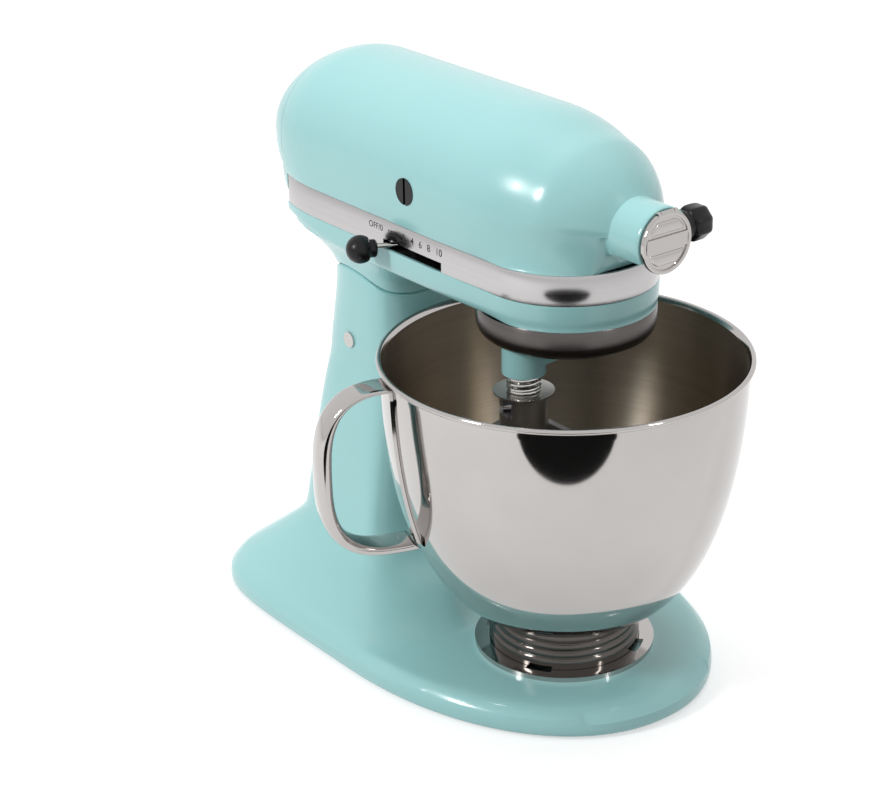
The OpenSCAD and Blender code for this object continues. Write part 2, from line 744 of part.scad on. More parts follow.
module hub_cover() {
  color(POLISHED)
  difference() {
    union() {
      difference() {
        translate([0, 0, hub_z]) along_y(-nose_front - gap - cover_t, -nose_front - gap, cover_r);
        translate([-50, -nose_front - 10, cover_pin_z]) cube([100, 20, 20]);
        for (x = [cover_pin_half - gap, -50]) translate([x, -nose_front - 10, cover_pin_z - 2.2])
          cube([50 - cover_pin_half + gap, 20, 20]);
      }
      translate([0, cover_pin_y, cover_pin_z])
        along_x(gap - cover_pin_half, cover_pin_half - gap, cover_t / 2);
    }
    translate([0, 0, hub_z]) intersection() {
      along_y(-nose_front - 4, -nose_front - 2.4, cover_r - 2.6);
      for (z = [4.2, -30]) translate([-50, -nose_front - 5, z]) cube([100, 10, 25.8]);
    }
    hinge_bore();
  }
}

module hub_cover_pin() {
  color(STEEL)
  translate([0, cover_pin_y, cover_pin_z]) along_x(-cover_pin_half - ear_w, cover_pin_half + ear_w, 0.8);
}

module attachment_knob() {
  color(BLACK)
  translate([0, knob_y, hub_z]) difference() {
    union() {
      translate([knob_x, 0, 0]) rotate([0, 90, 0]) {
        cylinder(h = 6, r = 7.6, $fn = 64);
        translate([0, 0, 6]) linear_extrude(knob_len - 6) difference() {
          circle(9.6, $fn = 64);
          for (i = [0:5]) rotate(60 * i + 30) translate([11.4, 0]) circle(3.4, $fn = 32);
        }
      }
      along_x(hub_bore / 2 + 0.4, knob_x + 1, 3);
    }
  }
}

// ---- Motor ---------------------------------------------------------------------------------

module brush_holders() {
  color(BLACK)
  for (m = [0, 1]) mirror([m, 0, 0]) translate([0, brush_y, hub_z]) difference() {
    along_x(commutator_r + 5, holder_x - 0.1, holder_r);
    along_x(0, 100, 4.7);
  }
}

module brushes() {
  color(RUBBER)
  for (m = [0, 1]) mirror([m, 0, 0]) translate([commutator_r + gap, brush_y - 3, hub_z - 3])
    cube([16, 6, 6]);
}

module brush_caps() {
  color(BLACK)
  for (m = [0, 1]) mirror([m, 0, 0]) translate([0, brush_y, hub_z]) difference() {
    union() {
      along_x(holder_x, head_w / 2 + 0.3, cap_r);
      along_x(commutator_r + gap + 16.3, holder_x + 1, 4.6);
    }
    translate([head_w / 2 - 1.7, -1, -cap_r - 1]) cube([5, 2, 2 * cap_r + 2]);
  }
}

module stator() {
  color(STEEL)
  translate([0, 0, hub_z]) difference() {
    union() {
      along_y(core_y, core_y + core_len, 43);
      translate([-head_w / 2 + wall + 0.5, core_y, -7]) cube([head_w - 2 * wall - 1, core_len, 14]);
    }
    along_y(core_y - 1, core_y + core_len + 1, core_r + 0.7);
    for (z = [-36, 26]) translate([-20, core_y - 1, z]) cube([40, core_len + 2, 10]);
  }
  color(COPPER)
  for (z = [-35.5, 26.5]) translate([-19.5, core_y - 8, hub_z + z]) cube([39, core_len + 16, 9]);
}

module armature() {
  color(STEEL)
  translate([0, 0, hub_z]) {
    along_y(30, 205, 4);
    difference() {
      along_y(core_y, core_y + core_len, core_r);
      for (i = [0:11]) rotate([0, 30 * i, 0]) translate([-1.2, core_y - 1, core_r - 3])
        cube([2.4, core_len + 2, 5]);
    }
    difference() {
      along_y(34, 58, worm_r);
      for (i = [0:2]) ring_y(36.5 + 6.3 * i, 39.5 + 6.3 * i, worm_r + 1, worm_r - 2.4);
    }
    along_y(94, core_y - 0.5, 17);
    along_y(core_y + core_len + 0.5, 166, 17);
  }
}

module commutator() {
  color(COPPER)
  translate([0, 0, hub_z]) difference() {
    along_y(74, 88, commutator_r);
    along_y(73, 89, 4 + fit);
    for (i = [0:11]) rotate([0, 30 * i, 0]) translate([-0.4, 73, commutator_r - 1.5])
      cube([0.8, 16, 3]);
  }
}

module motor_fan() {
  color(BLACK)
  translate([0, 0, hub_z]) difference() {
    union() {
      along_y(169, 171, 32);
      along_y(169, 182, 8);
      for (i = [0:7]) rotate([0, 45 * i, 0]) translate([-1, 170, 6]) cube([2, 12, 25]);
    }
    along_y(168, 183, 4 + fit);
  }
}

// Cross bar with a bearing, from wall to wall of the housing
module bearing_bar(y, half, depth) {
  translate([0, 0, hub_z]) difference() {
    union() {
      along_y(y, y + depth, 14);
      translate([-half, y, -8]) cube([2 * half, depth, 16]);
    }
    along_y(y - 1, y + depth + 1, 4 + fit);
  }
}
module front_bearing() {
  color(ALUMINIUM) bearing_bar(bearing_y, holder_x - 0.3, bearing_t);
}
module rear_bearing() {
  color(ALUMINIUM) bearing_bar(rear_bearing_y, mid_half(rear_bearing_y + 6) - wall - 0.6, 6);
}

module governor() {
  color(BRASS)
  translate([0, 0, hub_z]) difference() {
    union() {
      along_y(194, 197, 15);
      for (a = [0, 180]) rotate([0, a, 0]) translate([-4, 196, 5]) cube([8, 7, 9]);
      along_y(194, 203, 7);
    }
    along_y(193, 204, 4 + fit);
  }
}

module control_board() {
  color("#5a6b4a")
  difference() {
    translate([-40, board_y, hub_z - 22]) cube([80, 2, 44]);
    translate([0, 0, hub_z]) along_y(board_y - 1, board_y + 3, 6);
  }
  color(BLACK) for (x = [-1, 1]) translate([x * 36, 0, hub_z])
    along_y(rear_bearing_y + 6.1, board_y + 0.2, 3);
  color(COPPER) for (x = [-24, 14]) translate([x, board_y + 1.8, hub_z - 14]) cube([10, 9, 18]);
  color(STEEL) translate([0, 0, hub_z]) ring_y(board_y + 1.5, board_y + 6, 8, 2.5 + fit);
}

// ---- Gear train ----------------------------------------------------------------------------

module worm_wheel() {
  color(BRASS)
  translate([wheel_x, wheel_y, 0]) {
    translate([0, 0, floor_in - 2]) cylinder(h = hub_z + 6 - floor_in + 2, r = 4, $fn = 48);
    translate([0, 0, hub_z - 5]) linear_extrude(10) gear_2d(wheel_teeth, gear_m);
    translate([0, 0, gear_z]) linear_extrude(gear_h + 1) rotate(wheel_phase) gear_2d(drive_teeth, gear_m);
  }
}

module bracket_2d() {
  translate([-50, 10]) square([100, 9]);
  translate([wheel_x - 9, 10]) square([18, wheel_y]);
  translate([wheel_x - 2, wheel_y]) rotate(atan2(bracket_posts[2][1] - wheel_y,
    bracket_posts[2][0] - wheel_x)) translate([-2, -6]) square([32, 12]);
}
module gear_bracket() {
  color(ALUMINIUM)
  translate([0, 0, bracket_z + 0.2]) linear_extrude(3) difference() {
    intersection() {
      head_plan(wall + 0.4, cover_y);
      bracket_2d();
    }
    circle(12.6, $fn = 64);
    translate([wheel_x, wheel_y]) circle(4 + fit, $fn = 48);
    for (p = bracket_posts) translate(p) circle(2 + fit, $fn = 32);
  }
}

module bracket_screws() {
  color(STEEL)
  for (p = bracket_posts)
    translate([p[0], p[1], bracket_z + 5.4]) rotate([180, 0, 0]) screw(10, 1.95, 3.6, 2.2);
}

module centre_gear() {
  color(BRASS)
  difference() {
    union() {
      translate([0, 0, gear_z]) linear_extrude(gear_h) gear_2d(centre_teeth, gear_m);
      translate([0, 0, gear_z]) cylinder(h = crown_z - gear_z, r = 12, $fn = 64);
      translate([0, 0, crown_z - 8]) cylinder(h = 6, r1 = 24, r2 = 34, $fn = 96);
      translate([0, 0, crown_z - 2]) tube(2, 34, 22);
      translate([0, 0, boss_z + 8]) cylinder(h = gear_z - boss_z - 8, r = centre_r, $fn = 64);
    }
    for (i = [0:5]) rotate(60 * i) translate([25, 0, gear_z - 1]) cylinder(h = gear_h + 2, r = 7, $fn = 32);
    rotate(planet_angle + 90) translate([0, 0, boss_z + 15]) along_x(-20, 20, 2 + fit);
  }
}

module ring_gear() {
  color(STEEL)
  translate([0, 0, spigot_z]) difference() {
    cylinder(h = web_z - spigot_z, r = gear_out, $fn = 120);
    translate([0, 0, -1]) linear_extrude(30) gear_2d(ring_teeth, planet_m, 0.35);
  }
}

module at_planet() {
  rotate(planet_angle) translate([planet_e, 0, 0]) children();
}

module planet_pinion() {
  color(STEEL)
  at_planet() translate([0, 0, pinion_z]) linear_extrude(web_z - pinion_z - 0.6) difference() {
    rotate(-planet_angle * ring_teeth / planet_teeth) gear_2d(planet_teeth, planet_m);
    circle(shaft_d / 2 + fit, $fn = 64);
  }
}

module planetary() {
  color(ENAMEL)
  difference() {
    union() {
      translate([0, 0, plate_bottom]) cylinder(h = plate_top - plate_bottom, r = drip_r - 8.6, $fn = 120);
      translate([0, 0, boss_z + 9]) cylinder(h = plate_top - boss_z - 9, r1 = 12.5, r2 = 15, $fn = 64);
      at_planet() translate([0, 0, boss_z]) cylinder(h = plate_top - boss_z, r = 12.9, $fn = 64);
      rotate(planet_angle) translate([0, 0, plate_bottom - 12]) linear_extrude(13) polygon([[0, -12],
        [planet_e, -12.5], [planet_e, 12.5], [0, 12]]);
    }
    translate([0, 0, boss_z]) cylinder(h = 50, r = centre_r + fit, $fn = 64);
    at_planet() translate([0, 0, boss_z - 1]) cylinder(h = 60, r = shaft_d / 2 + fit, $fn = 64);
    rotate(planet_angle + 90) translate([0, 0, boss_z + 15]) along_x(-20, 20, 2 + fit);
  }
}

module planetary_pin() {
  color(STEEL)
  rotate(planet_angle + 90) translate([0, 0, boss_z + 15]) along_x(-12.4, 12.4, 2);
}

module drip_ring() {
  color(STEEL)
  translate([0, 0, gearcase_z - drip_h]) rotate_extrude($fn = 120) polygon(concat(
    [for (i = [0:8]) drip_point(mix(20, 90, i / 8), 0)],
    [[drip_r, drip_h - 0.2], [drip_in + 0.05, drip_h - 0.2]],
    [for (i = [8:-1:0]) drip_point(mix(20, 90, i / 8), 1.2)]));
}
function drip_point(a, inset) = [drip_r - 7.2 - inset + 7.2 * sin(a), 9 - (9 - inset) * cos(a)];

// ---- Beater --------------------------------------------------------------------------------

module beater_shaft() {
  color(STEEL)
  at_planet() difference() {
    translate([0, 0, boss_z - 29]) cylinder(h = web_z - 0.8 - boss_z + 29, r = shaft_d / 2, $fn = 64);
    translate([0, 0, pin_z]) rotate(beater_turn) along_x(-20, 20, 2.5 + fit);
  }
}
module shaft_pin() {
  color(STEEL)
  at_planet() translate([0, 0, pin_z]) rotate(beater_turn) along_x(-12.3, 12.3, 2.5);
}

module shaft_spring() {
  color(STEEL)
  at_planet() loft([for (i = [0:4 * 16]) let (
    a = 360 * i / 16,
    z = washer_z + 1.9 + (boss_z - washer_z - 3.1) * smooth(i / 64))
    [for (j = [0:7]) let (b = -45 * j, q = 9.3 + 0.9 * cos(b)) [q * cos(a), q * sin(a), z + 0.9 * sin(b)]]]);
}

module spring_washer() {
  color(STEEL)
  at_planet() translate([0, 0, washer_z]) difference() {
    cylinder(h = 0.9, r = 18, $fn = 96);
    translate([0, 0, -1]) cylinder(h = 3, r = shaft_d / 2 + fit, $fn = 64);
  }
}

// Bowl profile: outer radius at height z
function bowl_r(z) = let (t = clamp01((z - bowl_z) / (rim_z - bowl_z)))
  bowl_flat_r + (bowl_wall_r - bowl_flat_r) * pow(1 - (1 - t) * (1 - t), 1 / bowl_power);
function beater_half(z) = min(55, bowl_r(z) - bowl_t - planet_e - 5);

module beater_frame_2d() {
  bottom = bowl_z + 9;
  zs = [for (i = [0:10]) mix(bottom, 150, pow(i / 10, 1.5))];
  top = collar_top - collar_h;
  outer = concat([for (z = zs) beater_half(z)]);
  difference() {
    polygon(concat([for (i = [0:10]) [outer[i], zs[i]]], [[collar_r - 2, top + 2]],
      [[2 - collar_r, top + 2]], [for (i = [10:-1:0]) [-outer[i], zs[i]]]));
    difference() {
      polygon(concat([for (i = [0:10]) [outer[i] - 8, max(zs[i], bottom + 7)]], [[5, top - 13]],
        [[-5, top - 13]], [for (i = [10:-1:0]) [8 - outer[i], max(zs[i], bottom + 7)]]));
      translate([-3.5, 0]) square([7, 200]);
      for (s = [-1, 1]) polygon([[0, 96], [s * 60, 128], [s * 60, 136], [0, 104]]);
    }
  }
}

module flat_beater() {
  color(ALUMINIUM)
  at_planet() rotate(beater_turn) difference() {
    union() {
      translate([0, 0, collar_top - collar_h]) cylinder(h = collar_h, r = collar_r, $fn = 72);
      translate([0, 0, collar_top - collar_h - 4]) cylinder(h = 4, r1 = 9, r2 = collar_r, $fn = 72);
      translate([0, 3.5, 0]) rotate([90, 0, 0]) linear_extrude(7) beater_frame_2d();
    }
    translate([0, 0, collar_top - collar_h + 2]) cylinder(h = 40, r = shaft_d / 2 + fit, $fn = 64);
    translate([0, 0, pin_z]) along_x(-20, 20, 2.5 + gap);
    for (a = [0, 180]) rotate(a) {
      translate([0, 0, pin_z - 2.9])
        rotate_extrude(angle = 54, start = -12) translate([2, 0]) square([20, 5.8]);
      translate([0, 0, pin_z - 2.9])
        rotate_extrude(angle = 25, start = 30) translate([2, 0]) square([20, 30]);
    }
  }
}

// ---- Bowl ----------------------------------------------------------------------------------

function wall_point(z, inset) = let (
  d = 0.4,
  slope = (bowl_r(min(rim_z, z + d)) - bowl_r(z - d)) / (min(rim_z, z + d) - max(bowl_z, z - d)),
  n = norm([1, slope]))
  [bowl_r(z) - inset / n, z + inset * slope / n];

module bowl() {
  zs = [for (i = [0:22]) mix(bowl_z + 0.15, rim_z - bead_r, pow(i / 22, 1.9))];
  color(POLISHED)
  rotate_extrude($fn = 144) {
    polygon(concat([[0, bowl_z]], [for (z = zs) wall_point(z, 0)],
      [for (i = [22:-1:1]) let (p = wall_point(zs[i], bowl_t)) [p[0], max(p[1], bowl_z + bowl_t)]],
      [[0, bowl_z + bowl_t]]));
    translate([bowl_d / 2 - bead_r, rim_z - bead_r]) circle(bead_r, $fn = 32);
  }
}

foot_step = 1.3;
foot_in = bowl_foot_r - 3 * foot_step - 1.4;
module bowl_foot() {
  color(POLISHED) {
    rotate_extrude($fn = 120) polygon(concat([[bowl_foot_r - 1.5, floor_z + gap], [bowl_foot_r, floor_z + gap]],
      [for (i = [0:3]) for (k = [0, 1])
        let (r = bowl_foot_r - i * foot_step, z = mix(deck_z + 6, bowl_z, (i + k * 0.7) / 3.7))
        [r, min(z, bowl_under(r) - 0.2)]],
      [[bowl_foot_r - 3 * foot_step, bowl_under(bowl_foot_r - 3 * foot_step) - 0.2],
        [foot_in, bowl_under(foot_in) - 0.2], [foot_in, bowl_z - 8], [bowl_foot_r - 1.5, deck_z + 5]]));
    for (i = [0:lug_count - 1]) rotate(i * 360 / lug_count) translate([0, 0, floor_z + 0.8])
      rotate_extrude(angle = 2 * lug_half, start = -lug_half) translate([bowl_foot_r - 0.5, 0])
        square([lug_reach + 0.5, lug_h]);
  }
}
// Height of the bowl's underside at radius r
function bowl_under(r) = bowl_z + (rim_z - bowl_z)
  * (1 - sqrt(max(0, 1 - pow(max(0, (r - bowl_flat_r) / (bowl_wall_r - bowl_flat_r)), bowl_power))));

handle_z = rim_z - 57;
handle_half_h = 52.5;
module handle_loop(inset, drop, reach, lift = 0) {
  r = bowl_d / 2 + handle_reach - inset;
  polygon([for (i = [0:47]) let (a = 7.5 * i)
    [r - reach + reach * pw(cos(a), 2 / 2.9),
     handle_z + lift + (handle_half_h - drop) * pw(sin(a), 2 / 2.9)]]);
}
module bowl_handle() {
  z0 = handle_z - handle_half_h + 3;
  zs = [for (i = [0:8]) mix(z0, rim_z - 2 * bead_r - 3, i / 8)];
  color(POLISHED) rotate(180 - handle_angle) {
    rotate_extrude(angle = 2 * strap_half, start = -strap_half) polygon(concat(
      [for (z = zs) [bowl_r(z) + 0.15, z]], [for (i = [8:-1:0]) [bowl_r(zs[i]) + 2.4, zs[i]]]));
    difference() {
      translate([0, handle_w / 2, 0]) rotate([90, 0, 0]) linear_extrude(handle_w) difference() {
        handle_loop(0, 0, 48);
        handle_loop(handle_t, 0.75 * handle_arm, 36, handle_arm / 4);
      }
      rotate_extrude($fn = 144) polygon(concat([[0, z0 - 30]], [[bowl_r(z0 - 30) + 1.5, z0 - 30]],
        [for (z = zs) [bowl_r(z) + 1.5, z]], [[bowl_d / 2 - 1, rim_z + 20], [0, rim_z + 20]]));
    }
  }
}
strap_half = asin(handle_w / bowl_d);

// ---- Speed control -------------------------------------------------------------------------

module at_lever() {
  translate([lever_x, lever_y, lever_z]) rotate(180 - lever_half_angle) children();
}
module speed_lever() {
  color(POLISHED)
  at_lever() difference() {
    union() {
      cylinder(h = lever_t, r = 8, $fn = 48);
      linear_extrude(lever_t) polygon([[0, -6], [38, -2.5], [38, 2.5], [0, 6]]);
      translate([0, 0, lever_t / 2]) along_x(30, lever_len - 4, 1.45);
    }
    translate([0, 0, -1]) cylinder(h = lever_t + 2, r = 3 + fit, $fn = 48);
  }
}
module speed_knob() {
  color(BLACK)
  at_lever() translate([0, 0, lever_t / 2]) difference() {
    union() {
      translate([lever_len, 0, 0]) sphere(knob_r, $fn = 64);
      along_x(lever_len - knob_r - 4, lever_len, 5.4);
    }
    along_x(0, lever_len - 3.8, 1.5);
  }
}

// ---- Drawing --------------------------------------------------------------------------------

base();
column();
rubber_feet();
column_bolts();
clamp_plate();
clamp_plate_screws();
hinge_pin();
hinge_set_screw();
height_screw();
lock_lever();
lock_knob();
gearcase();
motor_housing();
housing_screws();
rear_cover();
rear_cover_screw();
cord_gland();
trim_band();
brush_holders();
brushes();
brush_caps();
hub_sleeve();
hub_shaft();
hub_cover();
hub_cover_pin();
attachment_knob();
stator();
armature();
commutator();
motor_fan();
front_bearing();
rear_bearing();
governor();
control_board();
worm_wheel();
gear_bracket();
bracket_screws();
centre_gear();
ring_gear();
planet_pinion();
planetary();
planetary_pin();
drip_ring();
beater_shaft();
shaft_pin();
shaft_spring();
spring_washer();
flat_beater();
bowl();
bowl_foot();
bowl_handle();
speed_lever();
speed_knob();
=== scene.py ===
import json
import math
import bpy
import bmesh
import numpy as np
from mathutils import Matrix, Vector

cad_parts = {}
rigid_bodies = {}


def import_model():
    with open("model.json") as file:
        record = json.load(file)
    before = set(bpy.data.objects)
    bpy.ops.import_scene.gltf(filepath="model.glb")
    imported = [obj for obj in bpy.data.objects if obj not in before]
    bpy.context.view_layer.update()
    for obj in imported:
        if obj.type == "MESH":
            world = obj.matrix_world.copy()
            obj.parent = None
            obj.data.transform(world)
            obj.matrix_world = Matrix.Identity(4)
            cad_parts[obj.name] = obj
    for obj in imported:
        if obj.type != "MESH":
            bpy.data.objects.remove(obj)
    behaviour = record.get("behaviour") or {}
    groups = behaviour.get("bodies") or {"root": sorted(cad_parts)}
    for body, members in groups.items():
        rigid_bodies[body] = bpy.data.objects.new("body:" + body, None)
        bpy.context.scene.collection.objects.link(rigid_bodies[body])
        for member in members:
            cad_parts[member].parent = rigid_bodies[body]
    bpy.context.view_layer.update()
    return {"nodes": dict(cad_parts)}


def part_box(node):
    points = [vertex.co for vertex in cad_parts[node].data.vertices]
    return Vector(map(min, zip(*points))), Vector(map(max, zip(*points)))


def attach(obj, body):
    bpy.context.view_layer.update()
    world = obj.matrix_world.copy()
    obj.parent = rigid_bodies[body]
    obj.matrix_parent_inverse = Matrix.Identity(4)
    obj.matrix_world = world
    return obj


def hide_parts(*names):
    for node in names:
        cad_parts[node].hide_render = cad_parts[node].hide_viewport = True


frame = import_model()
nodes = frame["nodes"]

# ---- Base and pedestal ----------------------------------------------------------------------
# The real stand is two zinc castings, a flat base and a hollow pedestal bolted to it from below,
# filled at the joint and enamelled as one. The pedestal spreads over the rear of the base like a
# mound, and is turned away to a round step behind the bowl.

base_w, base_front, base_rear, base_mid = 221.0, 92.5, 243.0, 75.0
base_nose, base_corner = 2.1, 5.6
foot_h, widest_z, deck_z = 2.0, 7.0, 18.0
edge_in = 7.5
column_w, column_front, column_mid, column_rear = 83.0, 120.0, 150.0, 195.0
lean, lean_top, lean_front = 0.4, 160.0, 25.0
spread, spread_h, spread_low, spread_front = 0.6, 40.0, 4.0, 105.0
column_corner, spread_corner, rear_corner, corner_run = 4.0, 2.2, 2.4, 110.0
neck_z, neck_flare_h = 219.0, 24.0
neck_side, neck_front, neck_rear = 10.5, 26.0, 44.0
hinge_y, hinge_z = 158.0, 177.0
saddle_r, saddle_front_r = 48.0, 67.0
saddle_front_z = hinge_z + saddle_r - saddle_front_r
bowl_room, bowl_room_flare, bowl_room_top = 72.0, 14.0, 60.0
room_soft, room_lift = 0.12, 0.03
pedestal_top = 150.0


def mix(a, b, t):
    """Value a share t of the way from a to b."""
    return a + (b - a) * t


def smooth(t):
    """Eased step from 0 to 1."""
    t = max(0.0, min(1.0, t))
    return t * t * (3 - 2 * t)


def power(v, e):
    """Power that keeps the sign, for rounded corners."""
    return math.copysign(abs(v) ** e, v)


def plan_point(half, y0, y1, y2, front_p, rear_p, a):
    """Point at angle a of a plan: widest at y1, from y0 to y2, with its own corner power at each end."""
    p = front_p if math.sin(a) < 0 else rear_p
    reach = y1 - y0 if math.sin(a) < 0 else y2 - y1
    return half * power(math.cos(a), 2 / p), y1 + reach * power(math.sin(a), 2 / p)


def base_outline(inset, count):
    """Outline of the base, drawn in by inset; its tail is drawn in half as far."""
    return [plan_point(base_w / 2 - inset, inset - base_front, base_mid, base_rear - 0.5 * inset,
                       base_nose, base_corner, 2 * math.pi * i / count) for i in range(count)]


def column_point(z, angle):
    """Point of the column at height z: it leans out to a mound below and flares to a neck above."""
    flare = lean * max(0.0, 1 - z / lean_top)
    mound = spread * (1 - smooth((z - deck_z + spread_low) / spread_h))
    s = flare + mound
    neck = min(1.0, max(0.0, z - neck_z) / neck_flare_h) ** 2
    x, y = plan_point(
        mix(column_w / 2, base_w / 2 - 3.5, s) + neck_side * neck,
        column_front - lean_front * flare - spread_front * mound - neck_front * neck,
        mix(column_mid, base_mid - 5, s),
        mix(column_rear, base_rear - 2, s) + neck_rear * neck,
        mix(column_corner, spread_corner, s),
        mix(rear_corner, base_corner, smooth((neck_z - z) / corner_run)),
        angle)
    room = bowl_room + bowl_room_flare * (z - deck_z) / 40 if z <= bowl_room_top else 0
    push = room / math.hypot(x, y)
    out = max(1, push) + room_lift * max(0, 1 - abs(push - 1) / room_soft) ** 2
    return x * out, y * out


def column_outline(z, count):
    """Outline of the column at height z."""
    return [column_point(z, 2 * math.pi * i / count) for i in range(count)]


def column_ring(heights):
    """Ring round the column with each point at its own height."""
    return [(*column_point(z, 2 * math.pi * i / len(heights)), z) for i, z in enumerate(heights)]


def saddle_top(y):
    """Height of the cradle on which the head rocks."""
    d = y - hinge_y
    if d < 0:
        return saddle_front_z + math.sqrt(max(1, saddle_front_r ** 2 - d * d))
    return hinge_z + math.sqrt(max(1, saddle_r ** 2 - d * d))


def placed(name, data):
    """New object with this data, in the scene."""
    piece = bpy.data.objects.new(name, data)
    bpy.context.scene.collection.objects.link(piece)
    return piece


def added(name, bm, sharp):
    """Piece made of a finished bmesh, smooth but for the edges sharper than sharp degrees."""
    mesh = bpy.data.meshes.new(name)
    bm.to_mesh(mesh)
    bm.free()
    mesh.shade_smooth()
    mesh.set_sharp_from_angle(angle=math.radians(sharp))
    return placed(name, mesh)


def skin(name, stacks, sharp=35):
    """Piece from stacks of closed rings, in millimetres; each stack's two ends are filled."""
    weld = 0.02
    bm = bmesh.new()
    for rings in stacks:
        rows = [[bm.verts.new(Vector(p) / 1000) for p in ring] for ring in rings]
        count = len(rows[0])
        for a, b in zip(rows, rows[1:]):
            for i in range(count):
                bm.faces.new((a[i], a[(i + 1) % count], b[(i + 1) % count], b[i]))
        bm.faces.new(rows[0])
        bm.faces.new(rows[-1])
    bmesh.ops.remove_doubles(bm, verts=bm.verts, dist=weld / 1000)
    bmesh.ops.dissolve_degenerate(bm, dist=1e-6, edges=bm.edges)
    bmesh.ops.recalc_face_normals(bm, faces=bm.faces)
    return added(name, bm, sharp)


def carve(piece, *tools):
    """Cuts each tool out of the piece and throws the tool away."""
    for tool in tools:
        cut = piece.modifiers.new("cut", "BOOLEAN")
        cut.object, cut.operation, cut.solver = tool, "DIFFERENCE", "EXACT"
        bpy.context.view_layer.update()
        cut_piece = piece.evaluated_get(bpy.context.evaluated_depsgraph_get())
        mesh = bpy.data.meshes.new_from_object(cut_piece)
        piece.modifiers.clear()
        piece.data = mesh
        bpy.data.objects.remove(tool)
    piece.data.set_sharp_from_angle(angle=math.radians(35))


def around(count):
    """Cosine and sine of even steps round a circle."""
    return [(math.cos(2 * math.pi * i / count), math.sin(2 * math.pi * i / count)) for i in range(count)]


def round_x(y, z, x0, x1, r, count=96):
    """Rings of a round bar along X."""
    return [[(x, y + r * c, z + r * s) for c, s in around(count)] for x in (x0, x1)]


def block(x0, x1, y0, y1, z0, z1):
    """Rings of a square block."""
    return [[(x, y, z) for x, y in ((x0, y0), (x1, y0), (x1, y1), (x0, y1))] for z in (z0, z1)]


count = 400
mound_top, fillet, steep = 60.0, 12.0, 2.0
flank_steps, roll_steps, fine_steps = 64, 25, 240
wide = base_outline(0, count)
mound_levels = [mix(widest_z, mound_top, k / 40) for k in range(41)]
mound_rings = [column_outline(z, count) for z in mound_levels]


def flank(i):
    """Profile from the widest line of the base in to the pedestal, as even steps of (x, y, z)."""
    start, end = np.array(wide[i]), np.array(mound_rings[-1][i])
    reach = np.linalg.norm(end - start)
    way = (end - start) / reach
    at = np.maximum.accumulate([(np.array(ring[i]) - start) @ way for ring in mound_rings])
    roll = edge_in * (1 - np.cos(np.linspace(0, math.pi / 2, roll_steps)))
    s = np.concatenate((roll, np.linspace(edge_in, reach, fine_steps)[1:]))
    edge = widest_z + (deck_z - widest_z) * np.sqrt(1 - np.clip(1 - s / edge_in, 0, 1) ** 2)
    mound = np.interp(s, at, mound_levels) - steep * np.clip(at[0] - s, 0, None)
    z = np.maximum(edge, mound) + fillet / 4 * np.clip(1 - np.abs(edge - mound) / fillet, 0, 1) ** 2
    along = np.concatenate(([0], np.cumsum(np.hypot(np.diff(s), np.diff(z)))))
    even = np.linspace(0, along[-1], flank_steps + 1)
    return [(*(start + way * a), b) for a, b in zip(np.interp(even, along, s), np.interp(even, along, z))]


rings = [[(x * 0.995, base_mid + (y - base_mid) * 0.995, foot_h) for x, y in base_outline(1.2, count)]]
for inset, z in ((0.6, 3.2), (0.1, 5.0)):
    rings.append([(x, y, z) for x, y in base_outline(inset, count)])
rings += [list(ring) for ring in zip(*(flank(i) for i in range(count)))]
rings += [column_ring([mix(mound_top, pedestal_top, k / 18)] * count) for k in range(1, 19)]
crest_z, brim_r, spine = 215.0, 1.5, 20.0
crest = [saddle_top(y) for x, y in column_outline(crest_z, count)]
for k in range(1, 15):
    rings.append(column_ring([mix(pedestal_top, top - brim_r, k / 14) for top in crest]))
brim = rings[-1]
for k in range(1, 5):
    a = math.pi / 8 * k
    drawn = 1 - math.cos(a)
    ring = []
    for x, y, z in brim:
        narrow = 1 - brim_r * drawn / abs(x) if abs(x) > spine else 1
        inward = math.copysign(min(brim_r, abs(y - hinge_y) * 0.06), y - hinge_y)
        ring.append((x * narrow, y - inward * drawn, z + brim_r * math.sin(a)))
    rings.append(ring)
crown = rings[-1]
for k in range(1, 21):
    rings.append([(x * (1 - k / 20), y, mix(z, saddle_top(y), min(1, k / 4))) for x, y, z in crown])
hollow = []
for inset, z in ((5, foot_h), (5.5, 9), (8, 12.5)):
    hollow.append([(x, y, z) for x, y in base_outline(inset, count)])
pedestal = skin("pedestal", [list(reversed(hollow)) + rings])
bm = bmesh.new()
bm.from_mesh(pedestal.data)
bm.normal_update()
loose_low, loose_high, passes = 0.0135, 0.135, 25
loose = [v for v in bm.verts if loose_low < v.co.z < loose_high]
for turn in range(passes):
    bmesh.ops.smooth_vert(bm, verts=loose, factor=0.5, use_axis_x=True, use_axis_y=True, use_axis_z=True)
bm.to_mesh(pedestal.data)
bm.free()
slot_half, slot_r, slot_rear = 26.0, 31.5, 33.5
carve(pedestal,
      skin("cut", [round_x(hinge_y, hinge_z, -slot_half, slot_half, slot_r)]),
      skin("cut", [block(-slot_half, slot_half, hinge_y - slot_r, hinge_y + slot_rear, hinge_z, 260)]))
bosses = []
boss_section = ((12, foot_h), (13, 13))
for x, y in ((-52, -38), (52, -38), (-84, 198), (84, 198), (0, 222), (0, 0)):
    bosses.append([[(x + r * c, y + r * s, z) for c, s in around(48)] for r, z in boss_section])
foot_bosses = skin("foot_bosses", bosses)


def linear(hexa):
    """sRGB hex colour to the linear values a shader takes."""
    values = [int(hexa[i:i + 2], 16) / 255 for i in (0, 2, 4)]
    return [v / 12.92 if v <= 0.04045 else ((v + 0.055) / 1.055) ** 2.4 for v in values] + [1.0]


